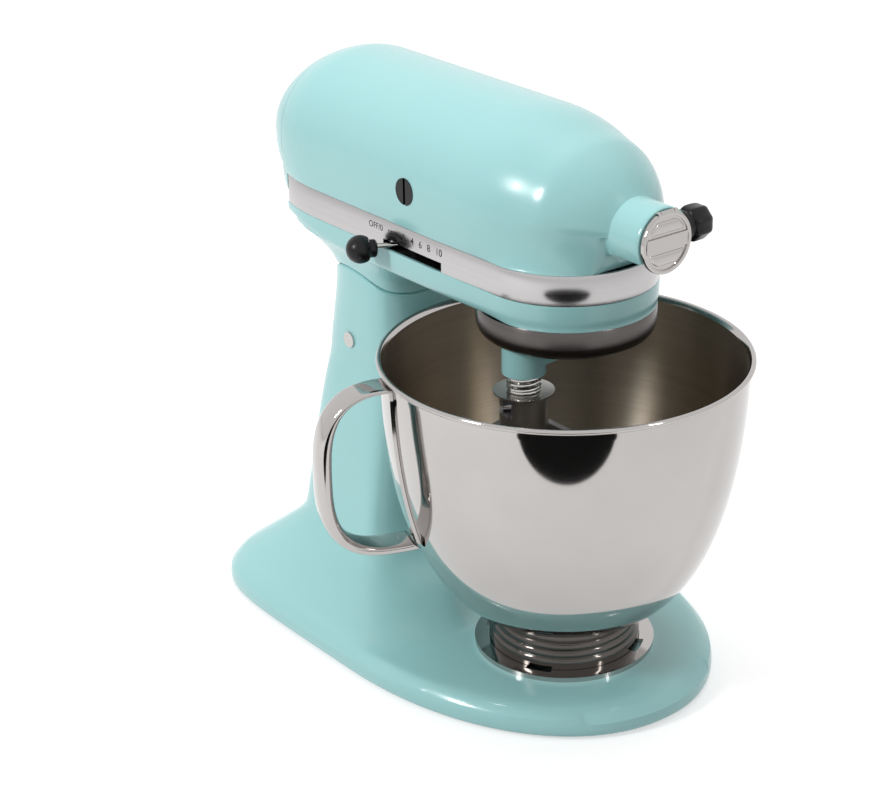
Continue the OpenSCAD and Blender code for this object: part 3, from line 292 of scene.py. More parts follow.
def put(tree, kind, values=None, **settings):
    """Adds a node with its settings; a value that is a socket is linked, any other is set."""
    node = tree.nodes.new(kind)
    for key, value in settings.items():
        setattr(node, key, value)
    for key, value in (values or {}).items():
        socket = node.inputs[key]
        if isinstance(value, bpy.types.NodeSocket):
            tree.links.new(value, socket)
        else:
            socket.default_value = value
    return node


def finish_of(name):
    """New material: itself, its node tree, its output node, and the place on the object in metres."""
    material = bpy.data.materials.new(name)
    material.use_nodes = True
    tree = material.node_tree
    tree.nodes.clear()
    spot = put(tree, "ShaderNodeTexCoord").outputs["Object"]
    return material, tree, put(tree, "ShaderNodeOutputMaterial"), spot


def wear(material, *pieces):
    """Gives each piece this one material."""
    for piece in pieces:
        piece.data.materials.clear()
        piece.data.materials.append(material)


def soften(name, width, segments=3):
    """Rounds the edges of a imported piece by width, in millimetres."""
    edge = nodes[name].modifiers.new("edge", "BEVEL")
    edge.width, edge.segments, edge.limit_method = width / 1000, segments, "ANGLE"


# Gloss powder enamel on zinc: an even colour under a clear hard gloss, with the faint orange peel
# of a sprayed coat, about 2.5 mm from crest to crest.
enamel, tree, out, spot = finish_of("gloss_enamel_sprayed")
drift = put(tree, "ShaderNodeTexNoise", {"Vector": spot, "Scale": 14.0, "Detail": 2.0}).outputs["Fac"]
shade = put(tree, "ShaderNodeMix", {0: drift, 6: linear("a2d9da"), 7: linear("a9dddd")},
            data_type="RGBA").outputs[2]
peel = put(tree, "ShaderNodeTexNoise", {"Vector": spot, "Scale": 400.0, "Detail": 1.0}).outputs["Fac"]
gloss = put(tree, "ShaderNodeMapRange", {0: drift, 3: 0.2, 4: 0.26}).outputs[0]
bump = put(tree, "ShaderNodeBump", {"Height": peel, "Strength": 0.05, "Distance": 0.0002}).outputs["Normal"]
shader = put(tree, "ShaderNodeBsdfPrincipled", {"Base Color": shade, "Roughness": gloss, "Normal": bump,
             "IOR": 1.5, "Coat Weight": 0.25, "Coat Roughness": 0.06})
tree.links.new(shader.outputs[0], out.inputs[0])
wear(enamel, pedestal, foot_bosses, nodes["planetary"])
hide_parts("base", "column")
for piece in (pedestal, foot_bosses):
    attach(piece, "stand")
soften("planetary", 1.2)

# ---- Lower head casting ----------------------------------------------------------------------
# The gearcase is a cast tub: round in front over the bowl, with straight sides, and a neck
# underneath that flares out of the pedestal's cradle. It turns with the head.

head_w, ring_r = 114.0, 53.5
gearcase_z, band_z, band_h = 241.0, 256.7, 18.4
band_top = band_z + band_h
split_z = band_z + band_h / 2
head_mid, head_rear, cover_y, dome_y = 170.0, 250.0, 209.0, 30.0
plan_round = 2.1
belly_y, belly_rise, cover_rise = 140.0, 0.55, 0.35
seat = 1.8
joint_gap = 1.1
neck_h, lug_half, lug_r = 35.0, 25.6, 30.0
web_front, web_rear, web_top = hinge_y - 18, hinge_y - 6, neck_z + 10


def rear_close(y, p, start=head_mid):
    """Share of its full size that the head keeps at y, as it rounds off behind start."""
    if y <= start:
        return 1.0
    return max(1e-4, 1 - ((y - start) / (head_rear - start)) ** p) ** (1 / p)


def band_half(y):
    """Half the head's width at the trim band."""
    if y < 0:
        return math.sqrt(max(0.6, ring_r ** 2 - y * y))
    return mix(ring_r, ring_r + 1.5, smooth(y / 60)) * rear_close(y, plan_round)


def belly_z(y):
    """Underside of the head at y: level over the bowl, rising to the band at the back."""
    rear = belly_rise * smooth((y - belly_y) / 70) + cover_rise * smooth((y - cover_y) / 30)
    return mix(gearcase_z, band_z, rear)


def head_plan(end, side=60, front=120):
    """Plan of the head at the trim band: right side from end to the front, and back on the left."""
    right = [(band_half(y), y) for y in (end * (1 - i / side) for i in range(side))]
    nose = [(ring_r * math.cos(math.pi * i / front), -ring_r * math.sin(math.pi * i / front))
            for i in range(front + 1)]
    return right + nose + [(-x, y) for x, y in reversed(right)]


# Height and inset of the tub's section: a seat for the band, a straight wall and a round lower edge.
tub_section = ((split_z, seat), (band_z, seat), (band_z, 0.3), (band_z - 0.3, 0.0), (251, 0.0),
               (247, 0.1), (244.5, 0.6), (242.8, 1.6), (241.7, 2.9), (241.1, 4.6), (gearcase_z, 7.0))
front_inset = 0.9
tub_rings = []
for z, inset in tub_section:
    ring = []
    for x, y in head_plan(cover_y):
        side = smooth((y + 20) / 40)
        draw = mix(min(inset, front_inset) if z < band_z else inset, inset, side)
        s = 1 - draw / math.hypot(x, min(y, 0) if y < 0 else 0)
        rise = (band_z - belly_z(y)) / (band_z - gearcase_z)
        ring.append((x * s, y * s if y < 0 else y, band_z - (band_z - z) * rise if z < band_z else z))
    tub_rings.append(ring)
neck_rings = []
for k in range(25):
    neck_rings.append(column_ring([mix(top + joint_gap, neck_z + neck_h, k / 24) for top in crest]))
underside = [[(x * k / 20, y, saddle_top(y) + joint_gap) for x, y, z in neck_rings[0]] for k in range(1, 20)]
neck_rings[0] = [(x * (1 - 0.6 / abs(x)) if abs(x) > spine else x, y, z) for x, y, z in neck_rings[0]]
lug = round_x(hinge_y, hinge_z, -lug_half, lug_half, lug_r)
web = block(-lug_half, lug_half, web_front, web_rear, hinge_z, web_top)
lower_head = skin("lower_head", [tub_rings])
head_neck = skin("head_neck", [underside + neck_rings, lug, web])
wear(enamel, lower_head, head_neck)
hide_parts("gearcase")
for piece in (lower_head, head_neck):
    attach(piece, "head")

# ---- Upper housing and rear cover ------------------------------------------------------------
# The motor housing is one die casting, a loaf with a domed front that draws out into the round
# nose of the attachment hub. A short cover closes its rear end, held by one screw.

mixer_h, hub_z, nose_r, nose_front = 352.0, 298.3, 19.4, 80.0
dome_reach = dome_y + head_w / 2
cheek_y, loaf, arch = -49, 2.1, 72
side_round, top_round = 2.3, 1.7
nose_low, nose_high = 6, 2.3


def dome(y):
    """Share of its full size that the head keeps at y, as its front rounds off."""
    return math.sqrt(max(4e-4, 1 - (max(0.0, dome_y - y) / dome_reach) ** 2))


def housing_ring(y, inset=0.0):
    """Section across the head at y: over the top from the left, down the right side, and back."""
    mid = head_w / 2 * dome(y) * rear_close(y, side_round)
    rise = (mixer_h - hub_z) * dome(y) * rear_close(y, top_round, head_mid + 15)
    half = band_half(y)
    close = 1.0 if y > cheek_y else max(0.02, 1 - (cheek_y - y) / 5)
    points = []
    for i in range(arch + 1):
        a = math.pi * i / arch
        points.append((-mid * power(math.cos(a), 2 / loaf), rise * math.sin(a) ** (2 / loaf)))
    side = []
    for i in range(1, 13):
        a = math.pi / 2 * i / 12
        side.append((half + (mid - half) * math.cos(a), -close * (hub_z - band_top) * math.sin(a)))
    points += side + [(-x, z) for x, z in reversed(side)]
    ring = []
    for x, z in points:
        r = math.hypot(x, z)
        nose = 0.0 if y > 0 else nose_r * smooth(-y / 30)
        w = mix(nose_low, nose_high, smooth((z / r + 0.7) / 0.9))
        s = ((r ** w + nose ** w) ** (1 / w) - inset) / r
        ring.append((x * s, y, hub_z + z * s))
    return ring


stations = [-nose_front, -79.2, -77, -74, -71, -68, -65, -62, -60, -58.5]
stations += [dome_y - dome_reach * math.sin(math.pi / 2 * (1 - i / 56)) for i in range(56)]
stations += [mix(dome_y, head_mid, i / 20) for i in range(21)]
span = head_rear - head_mid
end_angle = math.asin((cover_y - 0.15 - head_mid) / span)
stations += [head_mid + span * math.sin(end_angle * i / 14) for i in range(1, 15)]
shell_rings = [housing_ring(y) for y in stations]
shell_rings[0] = housing_ring(stations[0], 0.5)
upper_head = skin("upper_head", [shell_rings], sharp=50)


belly_round = 2.6


def cover_ring(y, inset=0.0):
    """Section across the rear cover at y, which closes under the head too."""
    close = rear_close(y, plan_round)
    half = band_half(y)
    low = band_top - belly_z(y)
    ring = [(x, z - hub_z) for x, _, z in housing_ring(y)[:arch + 1]]
    mid = head_w / 2 * rear_close(y, side_round)
    right = []
    for i in range(1, 9):
        a = math.radians(9 * i)
        right.append((half + (mid - half) * math.cos(a), -close * (hub_z - band_top) * math.sin(a)))
    for i in range(0, 19):
        a = math.radians(5 * i)
        right.append((half * power(math.cos(a), 1 / belly_round),
                      close * (band_top - hub_z - low * power(math.sin(a), 1 / belly_round))))
    ring += right + [(-x, z) for x, z in reversed(right[:-1])]
    drawn = []
    for x, z in ring:
        s = max(0.02, 1 - inset / max(1, math.hypot(x, z)))
        drawn.append((x * s, y, hub_z + z * s))
    return drawn


start_angle = math.asin((cover_y + 0.2 - head_mid) / span)
last_angle = math.asin((head_rear - 0.1 - head_mid) / span)
cover_rings = [cover_ring(cover_y + 0.2, 0.4)]
for i in range(41):
    y = head_mid + span * math.sin(mix(start_angle, last_angle, i / 40))
    cover_rings.append(cover_ring(y + 0.3 if i == 0 else y))
rear_head = skin("rear_head", [cover_rings], sharp=50)
cap_low, cap_high = (Vector(corner) * 1000 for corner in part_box("brush_caps"))
cap_mid, cap_r = (cap_low + cap_high) / 2, (cap_high.z - cap_low.z) / 2
cap_holes = [skin("cut", [round_x(cap_mid.y, cap_mid.z, x, x + 30, cap_r, 64)]) for x in (-70, 40)]
carve(upper_head, *cap_holes)
wear(enamel, upper_head, rear_head)
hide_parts("motor_housing")
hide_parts("rear_cover")
for piece in (upper_head, rear_head):
    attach(piece, "head")

# ---- Bowl ------------------------------------------------------------------------------------
# Stainless sheet, drawn and spun on a lathe with its rim rolled outwards. The outside is buffed to
# a mirror; the inside keeps the fine rings of the brush, so that light stands up it in streaks.

bowl_d, rim_z, bowl_z, bowl_t, bead_r = 221.6, 207.8, 42.0, 1.2, 1.6
bowl_flat, bowl_side, bowl_power = 20.0, bowl_d / 2 - 2.9, 2.79


def bowl_r(z):
    """Radius of the bowl's outside at height z."""
    t = max(0.0, min(1.0, (z - bowl_z) / (rim_z - bowl_z)))
    return bowl_flat + (bowl_side - bowl_flat) * (1 - (1 - t) ** 2) ** (1 / bowl_power)


def turned(name, profile, count=240, sharp=35, closed=True):
    """Piece of revolution about Z from a profile of (r, z) points, closed on itself or open."""
    bm = bmesh.new()
    rows = []
    for r, z in profile:
        rows.append([bm.verts.new(Vector((r * c, r * s, z)) / 1000) for c, s in around(count)])
    pairs = list(zip(rows, rows[1:])) + ([(rows[-1], rows[0])] if closed else [])
    for a, b in pairs:
        for i in range(count):
            bm.faces.new((a[i], a[(i + 1) % count], b[(i + 1) % count], b[i]))
    bmesh.ops.remove_doubles(bm, verts=bm.verts, dist=1e-6)
    bmesh.ops.recalc_face_normals(bm, faces=bm.faces)
    return added(name, bm, sharp)


heights = [mix(bowl_z + 0.05, rim_z - 2 * bead_r, (i / 60) ** 1.9) for i in range(61)]
outside = [(0.0, bowl_z)] + [(bowl_r(z), z) for z in heights]
bead = [(bowl_d / 2 - bead_r + bead_r * math.cos(a), rim_z - bead_r + bead_r * math.sin(a))
        for a in (math.radians(-150 + 20 * i) for i in range(16))]
inside = []
for z in reversed(heights):
    slope = (bowl_r(z + 0.3) - bowl_r(z - 0.3)) / 0.6
    n = math.hypot(1, slope)
    inside.append((max(0, bowl_r(z) - bowl_t / n), max(bowl_z + bowl_t, z + bowl_t * slope / n)))
bowl_inside = turned("bowl_inside", inside + [(0.0, bowl_z + bowl_t)], closed=False)
bowl_outside = turned("bowl_outside", outside + bead + [inside[0]], closed=False)

# Stainless steel, buffed: nearly a mirror, with only a trace of haze from the wheel.
mirror, tree, out, spot = finish_of("stainless_buffed")
haze = put(tree, "ShaderNodeTexNoise", {"Vector": spot, "Scale": 30.0, "Detail": 3.0}).outputs["Fac"]
rough = put(tree, "ShaderNodeMapRange", {0: haze, 3: 0.04, 4: 0.09}).outputs[0]
tone = put(tree, "ShaderNodeMix", {0: haze, 6: linear("b3afad"), 7: linear("bcb8b6")},
           data_type="RGBA").outputs[2]
shader = put(tree, "ShaderNodeBsdfPrincipled", {"Base Color": tone, "Metallic": 1.0, "Roughness": rough})
tree.links.new(shader.outputs[0], out.inputs[0])

# Stainless steel, brushed on the lathe: rings about 0.3 mm apart, drawn at 1 mm so that they show,
# which spread the light across themselves.
brushed, tree, out, spot = finish_of("stainless_lathe_brushed")
rings_at = put(tree, "ShaderNodeMapping", {"Vector": spot, "Scale": (3.0, 3.0, 1000.0)}).outputs[0]
grain = put(tree, "ShaderNodeTexNoise", {"Vector": rings_at, "Scale": 1.0, "Detail": 3.0}).outputs["Fac"]
tone = put(tree, "ShaderNodeMix", {0: grain, 6: linear("968d80"), 7: linear("aca294")},
           data_type="RGBA").outputs[2]
rough = put(tree, "ShaderNodeMapRange", {0: grain, 3: 0.26, 4: 0.36}).outputs[0]
bump = put(tree, "ShaderNodeBump", {"Height": grain, "Strength": 0.15, "Distance": 0.0002}).outputs["Normal"]
along = put(tree, "ShaderNodeTangent", direction_type="RADIAL", axis="Z").outputs[0]
shader = put(tree, "ShaderNodeBsdfPrincipled", {"Base Color": tone, "Metallic": 1.0, "Roughness": rough,
             "Normal": bump, "Anisotropic": 0.9, "Anisotropic Rotation": 0.25, "Tangent": along})
tree.links.new(shader.outputs[0], out.inputs[0])
wear(mirror, bowl_outside)
wear(brushed, bowl_inside)
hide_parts("bowl")
for piece in (bowl_outside, bowl_inside):
    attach(piece, "bowl_set")

# ---- Bowl handle -----------------------------------------------------------------------------
# A chromed strap bent into a loop and welded to a curved plate on the bowl: thick and rounded
# where the hand holds it, thin where it runs in to the bowl.

handle_angle, handle_reach, handle_w, handle_t, handle_arm = 21.0, 42.0, 20.0, 9.5, 5.0
handle_z, handle_half = rim_z - 57, 52.5
grip_r = bowl_d / 2 + handle_reach


def handle_point(a, inset, drop, reach, lift):
    """Point (r, z) at angle a of the loop that the strap follows."""
    r = grip_r - inset
    return Vector((r - reach + reach * power(math.cos(a), 2 / 2.9),
                   handle_z + lift + (handle_half - drop) * power(math.sin(a), 2 / 2.9)))


turn = Matrix.Rotation(math.radians(180 - handle_angle), 3, "Z")
strap = []
for i in range(97):
    a = math.radians(mix(-98, 98, i / 96))
    outer = handle_point(a, 0, 0, 48, 0)
    inner_edge = handle_point(a, handle_t, 0.75 * handle_arm, 36, handle_arm / 4)
    middle, half_t = (outer + inner_edge) / 2, (outer - inner_edge) / 2
    round_p = mix(5.0, 2.6, smooth(math.cos(a) * 1.3))
    ring = []
    for k in range(40):
        b = 2 * math.pi * k / 40
        across = handle_w / 2 * power(math.cos(b), 2 / round_p)
        p = middle + half_t * power(math.sin(b), 2 / round_p)
        ring.append(turn @ Vector((p.x, across, p.y)))
    strap.append(ring)
handle = skin("bowl_handle_strap", [strap], sharp=40)
low, high = handle_z - handle_half - 20, bowl_z + 0.97 * (rim_z - bowl_z)
wall_gap, over_rim = 0.8, rim_z + 20
wall_cut = [(0.0, low)]
wall_cut += [(bowl_r(z) + wall_gap, z) for z in (mix(low, high, i / 40) for i in range(41))]
wall_cut += [(bowl_side + wall_gap, over_rim), (0.0, over_rim)]
carve(handle, turned("cut", wall_cut, closed=False))
plate, plate_in, plate_out = [], 0.15, 2.2
plate_half = math.asin(handle_w / bowl_d)
for i in range(33):
    z = mix(handle_z - handle_half + 3, rim_z - 2 * bead_r - 3, i / 32)
    close = min(1.0, 0.9 + i / 20, 0.9 + (32 - i) / 20)
    ring = []
    for away, way, draw in ((plate_in, 1, 1), (plate_out, -1, 0.97)):
        r = bowl_r(z) + away
        for k in range(17):
            a = way * mix(-plate_half, plate_half, k / 16) * close * draw
            ring.append(turn @ Vector((r * math.cos(a), r * math.sin(a), z)))
    plate.append(ring)
root = skin("bowl_handle_plate", [plate], sharp=40)
wear(mirror, handle, root)
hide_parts("bowl_handle")
for piece in (handle, root):
    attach(piece, "bowl_set")

# ---- Bowl foot and clamp plate ---------------------------------------------------------------
# The bowl stands on a spun steel ring in four steps, welded under it. The ring turns under the lip
# of the polished clamp plate, which is screwed down into the base.

foot_r, foot_step, foot_t, floor_z = 45.8, 1.3, 1.5, 11.5
foot_profile = [(foot_r - foot_t, floor_z + 0.35), (foot_r, floor_z + 0.35)]
for i in range(4):
    r = foot_r - i * foot_step
    low, high = (mix(deck_z + 6, bowl_z, (i + k) / 3.7) for k in (0, 0.7))
    high = min(high, bowl_z)
    foot_profile += [(r, low - 0.4), (r, high - 0.5), (r - 0.25, high), (r - foot_step + 0.5, high + 0.5)]
throat_r = foot_r - 3 * foot_step - 1.4
foot_profile += [(throat_r, bowl_z), (throat_r, bowl_z - 8), (foot_r - foot_t, deck_z + 5)]
foot_ring = turned("bowl_foot_ring", foot_profile, sharp=30)

# Stainless steel, turned and polished but not buffed: greyer than the bowl, with faint rings.
turned_bright, tree, out, spot = finish_of("stainless_turned_polished")
rings_at = put(tree, "ShaderNodeMapping", {"Vector": spot, "Scale": (20.0, 20.0, 900.0)}).outputs[0]
grain = put(tree, "ShaderNodeTexNoise", {"Vector": rings_at, "Scale": 1.0, "Detail": 2.0}).outputs["Fac"]
tone = put(tree, "ShaderNodeMix", {0: grain, 6: linear("4c4946"), 7: linear("5f5b58")},
           data_type="RGBA").outputs[2]
rough = put(tree, "ShaderNodeMapRange", {0: grain, 3: 0.07, 4: 0.15}).outputs[0]
shader = put(tree, "ShaderNodeBsdfPrincipled", {"Base Color": tone, "Metallic": 1.0, "Roughness": rough})
tree.links.new(shader.outputs[0], out.inputs[0])
wear(turned_bright, foot_ring)
wear(mirror, nodes["clamp_plate"])
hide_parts("bowl_foot")
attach(foot_ring, "bowl_set")
soften("clamp_plate", 0.8)

# ---- Trim band -------------------------------------------------------------------------------
# A strip of polished aluminium wrapped round the head over the joint of its two castings. The
# speed scale is printed on its left side, above the slot that the lever swings in.

band_t, slot_y, lever_slot_half, slot_top = 1.5, 74.0, 27.5, band_z + 6.1
bend, band_gap, band_end = 0.3, 0.15, 206.8
low, high = band_z + band_gap, band_top - band_gap
strip_section = ((0, low + bend), (bend * 0.3, low + bend * 0.3), (bend, low), (band_t, low),
                 (band_t, high), (bend, high), (bend * 0.3, high - bend * 0.3), (0, high - bend))
strip = []
path = head_plan(band_end, 90, 160)
for k, (x, y) in enumerate(path):
    before, after = path[max(0, k - 1)], path[min(len(path) - 1, k + 1)]
    way = Vector((after[0] - before[0], after[1] - before[1])).normalized()
    out_x, out_y = -way.y, way.x
    if out_x * x + out_y * min(y, 0) < 0:
        out_x, out_y = -out_x, -out_y
    ring = []
    for depth, z in strip_section:
        ring.append((x - out_x * depth, y - out_y * depth, z))
    strip.append(ring)
band = skin("trim_strip", [strip], sharp=60)
slot_y0, slot_y1 = slot_y - lever_slot_half, slot_y + lever_slot_half
carve(band, skin("cut", [block(-60, -48, slot_y0, slot_y1, band_z - 1, slot_top)]))

# Aluminium, polished along its length: fine lines about 0.2 mm apart, drawn at 0.6 mm.
polished_strip, tree, out, spot = finish_of("aluminium_polished_strip")
lines_at = put(tree, "ShaderNodeMapping", {"Vector": spot, "Scale": (8.0, 8.0, 1600.0)}).outputs[0]
grain = put(tree, "ShaderNodeTexNoise", {"Vector": lines_at, "Scale": 1.0, "Detail": 2.0}).outputs["Fac"]
tone = put(tree, "ShaderNodeMix", {0: grain, 6: linear("b3b1b1"), 7: linear("bfbdbd")},
           data_type="RGBA").outputs[2]
rough = put(tree, "ShaderNodeMapRange", {0: grain, 3: 0.12, 4: 0.22}).outputs[0]
bump = put(tree, "ShaderNodeBump", {"Height": grain, "Strength": 0.05, "Distance": 0.0001}).outputs["Normal"]
shader = put(tree, "ShaderNodeBsdfPrincipled", {"Base Color": tone, "Metallic": 1.0,
             "Roughness": rough, "Normal": bump})
tree.links.new(shader.outputs[0], out.inputs[0])

# Phenolic, moulded: near black, glossy where it is touched, a little uneven.
phenolic, tree, out, spot = finish_of("phenolic_moulded_black")
cloud = put(tree, "ShaderNodeTexNoise", {"Vector": spot, "Scale": 220.0, "Detail": 3.0}).outputs["Fac"]
tone = put(tree, "ShaderNodeMix", {0: cloud, 6: linear("0d0d0f"), 7: linear("161618")},
           data_type="RGBA").outputs[2]
rough = put(tree, "ShaderNodeMapRange", {0: cloud, 3: 0.22, 4: 0.36}).outputs[0]
bump = put(tree, "ShaderNodeBump", {"Height": cloud, "Strength": 0.08, "Distance": 0.0002}).outputs["Normal"]
shader = put(tree, "ShaderNodeBsdfPrincipled", {"Base Color": tone, "Roughness": rough, "Normal": bump,
             "Specular IOR Level": 0.28})
tree.links.new(shader.outputs[0], out.inputs[0])
wear(polished_strip, band)
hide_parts("trim_band")
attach(band, "head")

carve(lower_head, skin("cut", [block(-70, -42, slot_y0, slot_y1, band_z + 0.02, slot_top)]))
# A thin black box lines the slot cut for the lever: painted shade for the dark inside of the hollow head,
# seen through the slot.
slot_shade_box = skin("slot_painted_shade", [block(-53.3, -41, slot_y0 - 0.5, slot_y1 + 0.5, band_z + 0.1, slot_top + 0.5)])
carve(slot_shade_box, skin("cut", [block(-60, -42, slot_y0 + 0.3, slot_y1 - 0.3, band_z + 0.5, slot_top - 0.2)]))
wear(phenolic, slot_shade_box)
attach(slot_shade_box, "head")

# Black ink, pad printed: flat and slightly dull, with a little unevenness in its coat.
ink, tree, out, spot = finish_of("ink_pad_printed")
coat = put(tree, "ShaderNodeTexNoise", {"Vector": spot, "Scale": 900.0, "Detail": 1.0}).outputs["Fac"]
tone = put(tree, "ShaderNodeMix", {0: coat, 6: linear("1b1b1d"), 7: linear("2b2b2d")},
           data_type="RGBA").outputs[2]
shader = put(tree, "ShaderNodeBsdfPrincipled", {"Base Color": tone, "Roughness": 0.45})
tree.links.new(shader.outputs[0], out.inputs[0])
digit_h, digit_z = 4.3, 266.6
capital = 0.7
marks = [("OFF/0", 108.5, 267.2, 3.8), ("STIR", 92.5, 266.8, 3.0)]
marks += [(digits, y, digit_z, digit_h)
          for digits, y in (("2", 81.5), ("4", 73.3), ("6", 65.6), ("8", 57.8), ("10", 48.5))]
marks.append(("I", 87.0, 264.2, 3.6))
for word, y, z, tall in marks:
    letters = bpy.data.curves.new("mark", "FONT")
    letters.body, letters.size, letters.align_x = word, tall / (1000 * capital), "CENTER"
    letters.extrude, letters.offset = 0.00002, 0.00004
    text = placed("mark", letters)
    text.matrix_world = Matrix.Translation((-(band_half(y) + 0.02) / 1000, y / 1000, z / 1000)) @ \
        Matrix(((0, 0, -1, 0), (-1, 0, 0, 0), (0, 1, 0, 0), (0, 0, 0, 1)))
    bpy.context.view_layer.update()
    traced = text.evaluated_get(bpy.context.evaluated_depsgraph_get())
    mesh = bpy.data.meshes.new_from_object(traced)
    mesh.transform(text.matrix_world)
    bpy.data.objects.remove(text)
    mark = placed("scale_mark_" + str(len(bpy.data.objects)), mesh)
    wear(ink, mark)
    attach(mark, "head")

# ---- Speed knob ------------------------------------------------------------------------------
# A phenolic ball with a flat face and a short collar, moulded on to the steel rod of the lever.
# It swings with the lever, along the slot in the band.

lever_x, lever_y, lever_len, lever_half_angle, knob_r = -9.0, 74.0, 68.0, 27.0, 8.5
lever_mid = band_z + 1.7
ball = [(0.0, knob_r)]
for angle in [6 * i for i in range(1, 21)] + [125]:
    ball.append((knob_r * math.sin(math.radians(angle)), knob_r * math.cos(math.radians(angle))))
ball += [(6.6, -5.1), (5.3, -5.2), (5.4, -5.4), (5.4, -8.4), (5.2, -9.0), (4.5, -9.7), (3.4, -10.1),
         (1.3, -10.2), (1.3, -6.0), (0.0, -6.0)]
knob = turned("speed_ball", ball, 96, closed=False)
place = Matrix.Translation((lever_x / 1000, lever_y / 1000, lever_mid / 1000)) \
    @ Matrix.Rotation(math.radians(180 - lever_half_angle), 4, "Z") \
    @ Matrix.Translation((lever_len / 1000, 0, 0)) @ Matrix.Rotation(math.pi / 2, 4, "Y")
knob.data.transform(place)
wear(phenolic, knob)
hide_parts("speed_knob")
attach(knob, "speed_control")

# ---- Attachment hub --------------------------------------------------------------------------
# The hub's cover is a polished casting that flips up on a pin: a bright rim, and a sunk face with
# two rounded ribs and a flat bar across the middle, which carries nothing.

cover_r, cover_t = 18.1, 2.85
cover_y0 = -nose_front - 0.35
face = [(0.0, 0.0), (cover_r - 0.5, 0.0), (cover_r - 0.15, 0.15), (cover_r, 0.5), (cover_r, cover_t - 0.8),
        (cover_r - 0.2, cover_t - 0.25), (cover_r - 0.8, cover_t), (cover_r - 2.0, cover_t),
        (cover_r - 2.5, cover_t - 0.2), (cover_r - 2.7, cover_t - 1.0), (0.0, cover_t - 1.0)]
hub_face = turned("hub_face", face, 180, closed=False)
upright = Matrix.Translation((0, cover_y0 / 1000, hub_z / 1000)) @ Matrix.Rotation(math.pi / 2, 4, "X")
hub_face.data.transform(upright)
front_y = cover_y0 - cover_t
bars = []
reach, rib_end = cover_r - 2.6, 1.2
for low, high, crown_h, rib in ((-4.3, 4.3, 0.95, False), (5.6, 12.6, 0.9, True), (-12.6, -5.6, 0.9, True)):
    section = []
    for k in range(25):
        t = k / 24
        z = mix(low, high, t)
        hump = (1 - abs(2 * t - 1) ** 2) ** 0.5 if rib else min(1, (1 - abs(2 * t - 1)) * 12)
        section.append((z, front_y + 1.0 - crown_h * hump))
    section += [(high, front_y + 1.4), (low, front_y + 1.4)]
    rows = []
    for k in range(21):
        side = mix(-1, 1, k / 20)
        long = reach - (rib_end if rib else 0)
        sunk = 0.8 * max(0, abs(side) - 0.9) * 10 if rib else 0
        rows.append([(side * math.sqrt(max(1, long ** 2 - z * z)), y + sunk, hub_z + z) for z, y in section])
    bars.append(rows)
hub_bars = skin("hub_bars", bars, sharp=50)
pin_y, pin_z = cover_y0 - cover_t / 2, hub_z + cover_r - 1.2
knuckles = [round_x(pin_y, pin_z, x, x + 2.2, 1.5, 40) for x in (5.0, -7.2)]
knuckles.append(round_x(pin_y, pin_z, -4.65, 4.65, cover_t / 2, 40))
ears = skin("hub_ears", knuckles)
wear(mirror, hub_face, hub_bars, ears)
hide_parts("hub_cover")
for piece in (hub_face, hub_bars):
    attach(piece, "hub_flap")
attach(ears, "head")
knob_x, knob_y = nose_r + 0.9, 12.0 - nose_front
# Along the knob: distance, radius, and how deep the eight grooves are there.
grip_section = ((-3.0, 3.0, 0), (0.0, 3.0, 0), (0.0, 7.8, 0), (0.5, 8.5, 0), (1.5, 9.0, 0), (4.2, 9.3, 0),
                (5.2, 9.0, 0), (5.8, 8.2, 0), (7.4, 8.2, 0), (8.0, 9.3, 0.5), (8.8, 10.0, 1),
                (10.0, 10.4, 1), (13.0, 10.5, 1), (17.0, 10.4, 1), (19.2, 9.9, 1), (20.4, 8.9, 0.8),
                (21.0, 7.6, 0.4), (21.2, 6.0, 0), (20.6, 5.2, 0), (20.4, 0.01, 0))
grooves, groove_depth = 8, 0.75
lobed = []
for along, r, lobe in grip_section:
    ring = []
    for i in range(160):
        a = 2 * math.pi * i / 160
        rr = r - groove_depth * lobe * (0.5 + 0.5 * math.cos(grooves * a)) ** 0.6
        ring.append((knob_x + along, knob_y + rr * math.cos(a), hub_z + rr * math.sin(a)))
    lobed.append(ring)
clamp_grip = skin("clamp_grip", [lobed], sharp=40)
wear(phenolic, clamp_grip)
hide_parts("attachment_knob")
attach(clamp_grip, "clamp_knob")
wear(phenolic, nodes["brush_caps"], nodes["brush_holders"], nodes["lock_knob"],
     nodes["cord_gland"], nodes["motor_fan"])
for name, width in (("brush_caps", 0.4), ("cord_gland", 0.5), ("lock_knob", 0.4)):
    soften(name, width)

# ---- Drip ring -------------------------------------------------------------------------------
# A ring pressed from steel sheet and satin brushed on a wheel. It hides the gap between the head
# and the turning planetary, and its lower edge rolls inwards.

drip_r, drip_h, drip_t, roll_r, roll_h = 52.6, 18.5, 1.2, 7.2, 9


def drip_point(a, inset):
    """Point (r, z) at angle a of the ring's rolled lower edge."""
    return (drip_r - roll_r - inset + roll_r * math.sin(a),
            gearcase_z - drip_h + roll_h - (roll_h - inset) * math.cos(a))


drip = [drip_point(math.radians(mix(20, 90, i / 24)), 0) for i in range(25)]
drip += [(drip_r, gearcase_z - 0.5), (drip_r - 0.2, gearcase_z - 0.2), (drip_r - drip_t, gearcase_z - 0.2)]
drip += [drip_point(math.radians(mix(90, 20, i / 24)), drip_t) for i in range(25)]
ring_piece = turned("drip_band", drip, 240, sharp=50)

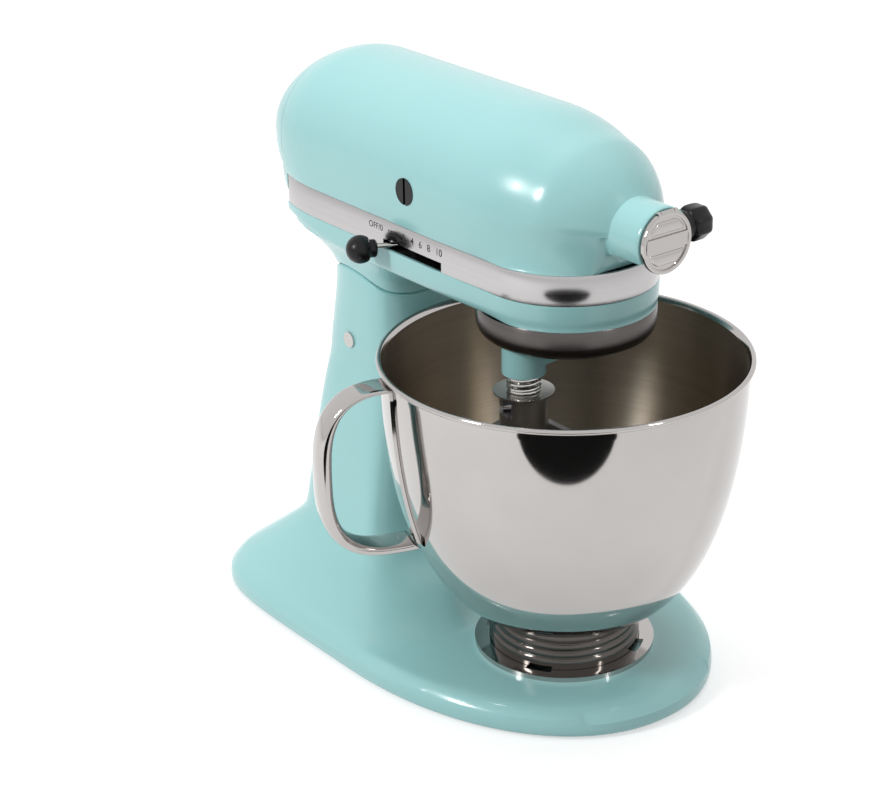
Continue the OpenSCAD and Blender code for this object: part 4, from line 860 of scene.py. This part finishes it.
# Stainless steel, satin brushed round: darker than a polished one, rings about 0.3 mm apart.
satin, tree, out, spot = finish_of("stainless_satin_brushed")
rings_at = put(tree, "ShaderNodeMapping", {"Vector": spot, "Scale": (6.0, 6.0, 1500.0)}).outputs[0]
grain = put(tree, "ShaderNodeTexNoise", {"Vector": rings_at, "Scale": 1.0, "Detail": 3.0}).outputs["Fac"]
tone = put(tree, "ShaderNodeMix", {0: grain, 6: linear("565251"), 7: linear("6a6664")},
           data_type="RGBA").outputs[2]
rough = put(tree, "ShaderNodeMapRange", {0: grain, 3: 0.2, 4: 0.3}).outputs[0]
bump = put(tree, "ShaderNodeBump", {"Height": grain, "Strength": 0.1, "Distance": 0.0001}).outputs["Normal"]
along = put(tree, "ShaderNodeTangent", direction_type="RADIAL", axis="Z").outputs[0]
shader = put(tree, "ShaderNodeBsdfPrincipled", {"Base Color": tone, "Metallic": 1.0,
             "Roughness": rough, "Normal": bump,
             "Anisotropic": 0.7, "Anisotropic Rotation": 0.25, "Tangent": along})
tree.links.new(shader.outputs[0], out.inputs[0])
wear(satin, ring_piece)
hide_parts("drip_ring")
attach(ring_piece, "head")

# ---- Shafts, pins and screws -----------------------------------------------------------------
# Screws, pins, shafts, the lever's rod and the small gears are steel, turned or cut on a lathe and
# plated. The hub's sleeve and the lock lever are finished the same way.

# Carbon steel, turned and bright plated: it shines, with fine turning marks about 1.4 mm apart.
turned_steel, tree, out, spot = finish_of("steel_turned_plated")
marks = put(tree, "ShaderNodeTexNoise", {"Vector": spot, "Scale": 700.0, "Detail": 2.0}).outputs["Fac"]
tone = put(tree, "ShaderNodeMix", {0: marks, 6: linear("b4b2af"), 7: linear("c9c7c4")},
           data_type="RGBA").outputs[2]
rough = put(tree, "ShaderNodeMapRange", {0: marks, 3: 0.14, 4: 0.26}).outputs[0]
bump = put(tree, "ShaderNodeBump", {"Height": marks, "Strength": 0.08, "Distance": 0.0001}).outputs["Normal"]
shader = put(tree, "ShaderNodeBsdfPrincipled", {"Base Color": tone, "Metallic": 1.0,
             "Roughness": rough, "Normal": bump})
tree.links.new(shader.outputs[0], out.inputs[0])
for name in ("hinge_pin", "hinge_set_screw", "height_screw", "column_bolts", "clamp_plate_screws",
             "lock_lever", "housing_screws", "rear_cover_screw", "hub_sleeve", "hub_shaft",
             "hub_cover_pin", "bracket_screws", "ring_gear", "planet_pinion", "planetary_pin",
             "beater_shaft", "shaft_pin", "shaft_spring", "spring_washer", "speed_lever"):
    wear(turned_steel, nodes[name])
    if name not in ("shaft_spring", "ring_gear", "planet_pinion"):
        soften(name, 0.3, 2)

# ---- Flat beater -----------------------------------------------------------------------------
# The beater is one aluminium casting, tumbled until it is burnished: grey, with a soft sheen and
# rounded edges, and a bayonet collar that hangs on the shaft's pin.

# Aluminium, cast and tumbled: fine pits about 0.6 mm across.
cast_aluminium, tree, out, spot = finish_of("aluminium_cast_burnished")
pits = put(tree, "ShaderNodeTexNoise", {"Vector": spot, "Scale": 900.0, "Detail": 3.0}).outputs["Fac"]
patch = put(tree, "ShaderNodeTexNoise", {"Vector": spot, "Scale": 60.0, "Detail": 2.0}).outputs["Fac"]
tone = put(tree, "ShaderNodeMix", {0: patch, 6: linear("9a9a9c"), 7: linear("b3b3b5")},
           data_type="RGBA").outputs[2]
rough = put(tree, "ShaderNodeMapRange", {0: patch, 3: 0.24, 4: 0.38}).outputs[0]
bump = put(tree, "ShaderNodeBump", {"Height": pits, "Strength": 0.15, "Distance": 0.0002}).outputs["Normal"]
shader = put(tree, "ShaderNodeBsdfPrincipled", {"Base Color": tone, "Metallic": 1.0,
             "Roughness": rough, "Normal": bump})
tree.links.new(shader.outputs[0], out.inputs[0])
wear(cast_aluminium, nodes["flat_beater"], nodes["front_bearing"], nodes["rear_bearing"],
     nodes["gear_bracket"])
soften("flat_beater", 1.6, 4)

# ---- Feet ------------------------------------------------------------------------------------
# Six rubber buttons, moulded with a stem that is pushed into a boss under the base. They carry the
# whole mixer and keep the enamel off the table.

# Rubber, moulded: dark and dull, with a fine grain of about 1 mm.
rubber, tree, out, spot = finish_of("rubber_moulded")
grain = put(tree, "ShaderNodeTexNoise", {"Vector": spot, "Scale": 1000.0, "Detail": 2.0}).outputs["Fac"]
tone = put(tree, "ShaderNodeMix", {0: grain, 6: linear("2c2c2c"), 7: linear("3a3a3a")},
           data_type="RGBA").outputs[2]
bump = put(tree, "ShaderNodeBump", {"Height": grain, "Strength": 0.2, "Distance": 0.0002}).outputs["Normal"]
shader = put(tree, "ShaderNodeBsdfPrincipled", {"Base Color": tone, "Roughness": 0.7, "Normal": bump})
tree.links.new(shader.outputs[0], out.inputs[0])
wear(rubber, nodes["rubber_feet"])

# ---- Motor and gears -------------------------------------------------------------------------
# Inside the head runs a brushed motor, built of stamped laminations and copper, which drives bronze
# gears through a worm. Screws and brackets hold them to the castings, and none of it shows.

# Bronze, hobbed and oiled: warm and half bright, duller where the oil has settled.
bronze, tree, out, spot = finish_of("bronze_hobbed")
oil = put(tree, "ShaderNodeTexNoise", {"Vector": spot, "Scale": 120.0, "Detail": 3.0}).outputs["Fac"]
tone = put(tree, "ShaderNodeMix", {0: oil, 6: linear("9c7a42"), 7: linear("c09a58")},
           data_type="RGBA").outputs[2]
rough = put(tree, "ShaderNodeMapRange", {0: oil, 3: 0.25, 4: 0.45}).outputs[0]
shader = put(tree, "ShaderNodeBsdfPrincipled", {"Base Color": tone, "Metallic": 1.0, "Roughness": rough})
tree.links.new(shader.outputs[0], out.inputs[0])
wear(bronze, nodes["centre_gear"], nodes["worm_wheel"], nodes["governor"])

# Silicon steel, stamped and stacked: sheets 0.5 mm thick along the shaft.
laminated, tree, out, spot = finish_of("steel_laminated_stack")
sheets = put(tree, "ShaderNodeTexWave", {"Vector": spot, "Scale": 320.0}, bands_direction="Y").outputs["Fac"]
tone = put(tree, "ShaderNodeMix", {0: sheets, 6: linear("5d5c5a"), 7: linear("8a8886")},
           data_type="RGBA").outputs[2]
bump = put(tree, "ShaderNodeBump", {"Height": sheets, "Strength": 0.3, "Distance": 0.0002}).outputs["Normal"]
shader = put(tree, "ShaderNodeBsdfPrincipled", {"Base Color": tone, "Metallic": 1.0,
             "Roughness": 0.45, "Normal": bump})
tree.links.new(shader.outputs[0], out.inputs[0])
wear(laminated, nodes["stator"], nodes["armature"])

# Copper, drawn and machined: red and bright, with darker clouds of tarnish.
copper, tree, out, spot = finish_of("copper_machined")
tarnish = put(tree, "ShaderNodeTexNoise", {"Vector": spot, "Scale": 150.0, "Detail": 3.0}).outputs["Fac"]
tone = put(tree, "ShaderNodeMix", {0: tarnish, 6: linear("8a4a2c"), 7: linear("c07a50")},
           data_type="RGBA").outputs[2]
shader = put(tree, "ShaderNodeBsdfPrincipled", {"Base Color": tone, "Metallic": 1.0, "Roughness": 0.35})
tree.links.new(shader.outputs[0], out.inputs[0])
wear(copper, nodes["commutator"])

# Carbon, pressed: dull dark grey with a fine grain.
carbon, tree, out, spot = finish_of("carbon_pressed")
grain = put(tree, "ShaderNodeTexNoise", {"Vector": spot, "Scale": 1500.0, "Detail": 2.0}).outputs["Fac"]
tone = put(tree, "ShaderNodeMix", {0: grain, 6: linear("28282a"), 7: linear("3c3c3e")},
           data_type="RGBA").outputs[2]
shader = put(tree, "ShaderNodeBsdfPrincipled", {"Base Color": tone, "Roughness": 0.6})
tree.links.new(shader.outputs[0], out.inputs[0])
wear(carbon, nodes["brushes"])

# Glass-filled board, etched: green lacquer with a faint weave of about 1 mm.
board, tree, out, spot = finish_of("circuit_board_lacquered")
weave = put(tree, "ShaderNodeTexChecker", {"Vector": spot, "Scale": 1000.0, "Color1": linear("3c4f30"),
            "Color2": linear("445a37")}).outputs[0]
shader = put(tree, "ShaderNodeBsdfPrincipled", {"Base Color": weave, "Roughness": 0.35})
tree.links.new(shader.outputs[0], out.inputs[0])
wear(board, nodes["control_board"])

# ---- Floor, light and camera -----------------------------------------------------------------
# A pale seamless sweep under a plain sky, lit by a small soft box at the left, a narrow strip in
# front that only shows as a reflection, and a wide one overhead that mirrors don't see.

size = 6.0
floor_mesh = bpy.data.meshes.new("floor")
corners = [(-size, -size, 0), (size, -size, 0), (size, size, 0), (-size, size, 0)]
floor_mesh.from_pydata(corners, [], [(0, 1, 2, 3)])
floor = placed("floor", floor_mesh)


def to_the_eye(tree):
    """1 for a ray that the camera sees, straight, in a mirror or through glass; 0 for any other."""
    ray = put(tree, "ShaderNodeLightPath").outputs
    seen = ray["Is Camera Ray"]
    for kind in ("Is Glossy Ray", "Is Transmission Ray"):
        seen = put(tree, "ShaderNodeMath", {0: seen, 1: ray[kind]}, operation="MAXIMUM").outputs[0]
    return seen


# Paper, matt white: it glows for the camera and for mirrors only, so that it looks white and throws
# no more light on the mixer than paper does.
paper, tree, out, _ = finish_of("paper_sweep")
level = put(tree, "ShaderNodeMath", {0: to_the_eye(tree), 1: 0.57}, operation="MULTIPLY").outputs[0]
glow = put(tree, "ShaderNodeEmission", {"Color": (1, 1, 1, 1), "Strength": level}).outputs[0]
chalk = put(tree, "ShaderNodeBsdfDiffuse", {"Color": linear("d4d4d4")}).outputs[0]
both = put(tree, "ShaderNodeAddShader")
tree.links.new(glow, both.inputs[0])
tree.links.new(chalk, both.inputs[1])
tree.links.new(both.outputs[0], out.inputs[0])
wear(paper, floor)

# The dark edge of the room in front of the sweep, which the bowl and the band mirror.
dark_r, dark_x, dark_y, dark_z, dark_count = 0.3, -0.42, -0.497, 0.001, 96
rim = [(dark_r * c + dark_x, dark_r * s + dark_y, dark_z) for c, s in around(dark_count)]
dark_mesh = bpy.data.meshes.new("dark_edge")
dark_mesh.from_pydata(rim, [], [tuple(range(dark_count))])
dark_edge = placed("dark_edge", dark_mesh)
# Felt, pressed: black and dull, with a faint nap.
felt, tree, out, spot = finish_of("felt_black")
nap = put(tree, "ShaderNodeTexNoise", {"Vector": spot, "Scale": 300.0}).outputs["Fac"]
tone = put(tree, "ShaderNodeMix", {0: nap, 6: linear("141414"), 7: linear("262626")},
           data_type="RGBA").outputs[2]
tree.links.new(put(tree, "ShaderNodeBsdfDiffuse", {"Color": tone}).outputs[0], out.inputs[0])
wear(felt, dark_edge)

# The sky is white to the camera and to mirrors, and lights the mixer at less than half of that.
world = bpy.data.worlds.new("studio")
bpy.context.scene.world = world
world.use_nodes = True
tree = world.node_tree
tree.nodes.clear()
level = put(tree, "ShaderNodeMapRange", {0: to_the_eye(tree), 3: 0.44, 4: 1.0}).outputs[0]
sky = put(tree, "ShaderNodeBackground", {"Color": (1, 1, 1, 1), "Strength": level})
tree.links.new(sky.outputs[0], put(tree, "ShaderNodeOutputWorld").inputs[0])


def soft_box(name, place, aim, width, height, watts):
    """Oval area lamp at place, turned to aim; all in metres."""
    light = bpy.data.lights.new(name, "AREA")
    light.shape, light.size, light.size_y, light.energy = "ELLIPSE", width, height, watts
    lamp = placed(name, light)
    lamp.location = place
    lamp.rotation_euler = (Vector(aim) - Vector(place)).to_track_quat("-Z", "Y").to_euler()
    return lamp


soft_box("key", (-1.5, 0.27, 1.15), (0, 0.07, 0.2), 0.3, 0.5, 12)
soft_box("strip", (0.42, -1.5, 1.2), (0, 0.0, 0.2), 0.1, 0.7, 5).visible_diffuse = False
soft_box("top", (0.4, 0.4, 2.0), (0, 0.07, 0.2), 1.6, 1.6, 17).visible_glossy = False

camera = bpy.data.cameras.new("camera")
camera.lens, camera.sensor_width, camera.shift_x, camera.shift_y = 91.87, 36.0, -0.1002, -0.0125
camera.clip_end = 50
view = placed("camera", camera)
camera_at, azimuth, elevation = (-0.8005, -0.9175, 0.7178), math.radians(40.20), math.radians(23.69)
back = Vector((-math.sin(azimuth) * math.cos(elevation),
               -math.cos(azimuth) * math.cos(elevation), math.sin(elevation)))
right = Vector((math.cos(azimuth), -math.sin(azimuth), 0))
turn = Matrix((right, back.cross(right), back)).transposed().to_4x4()
view.matrix_world = Matrix.Translation(camera_at) @ turn
bpy.context.scene.camera = view
bpy.context.scene.view_settings.view_transform = "Standard"

bpy.context.view_layer.update()
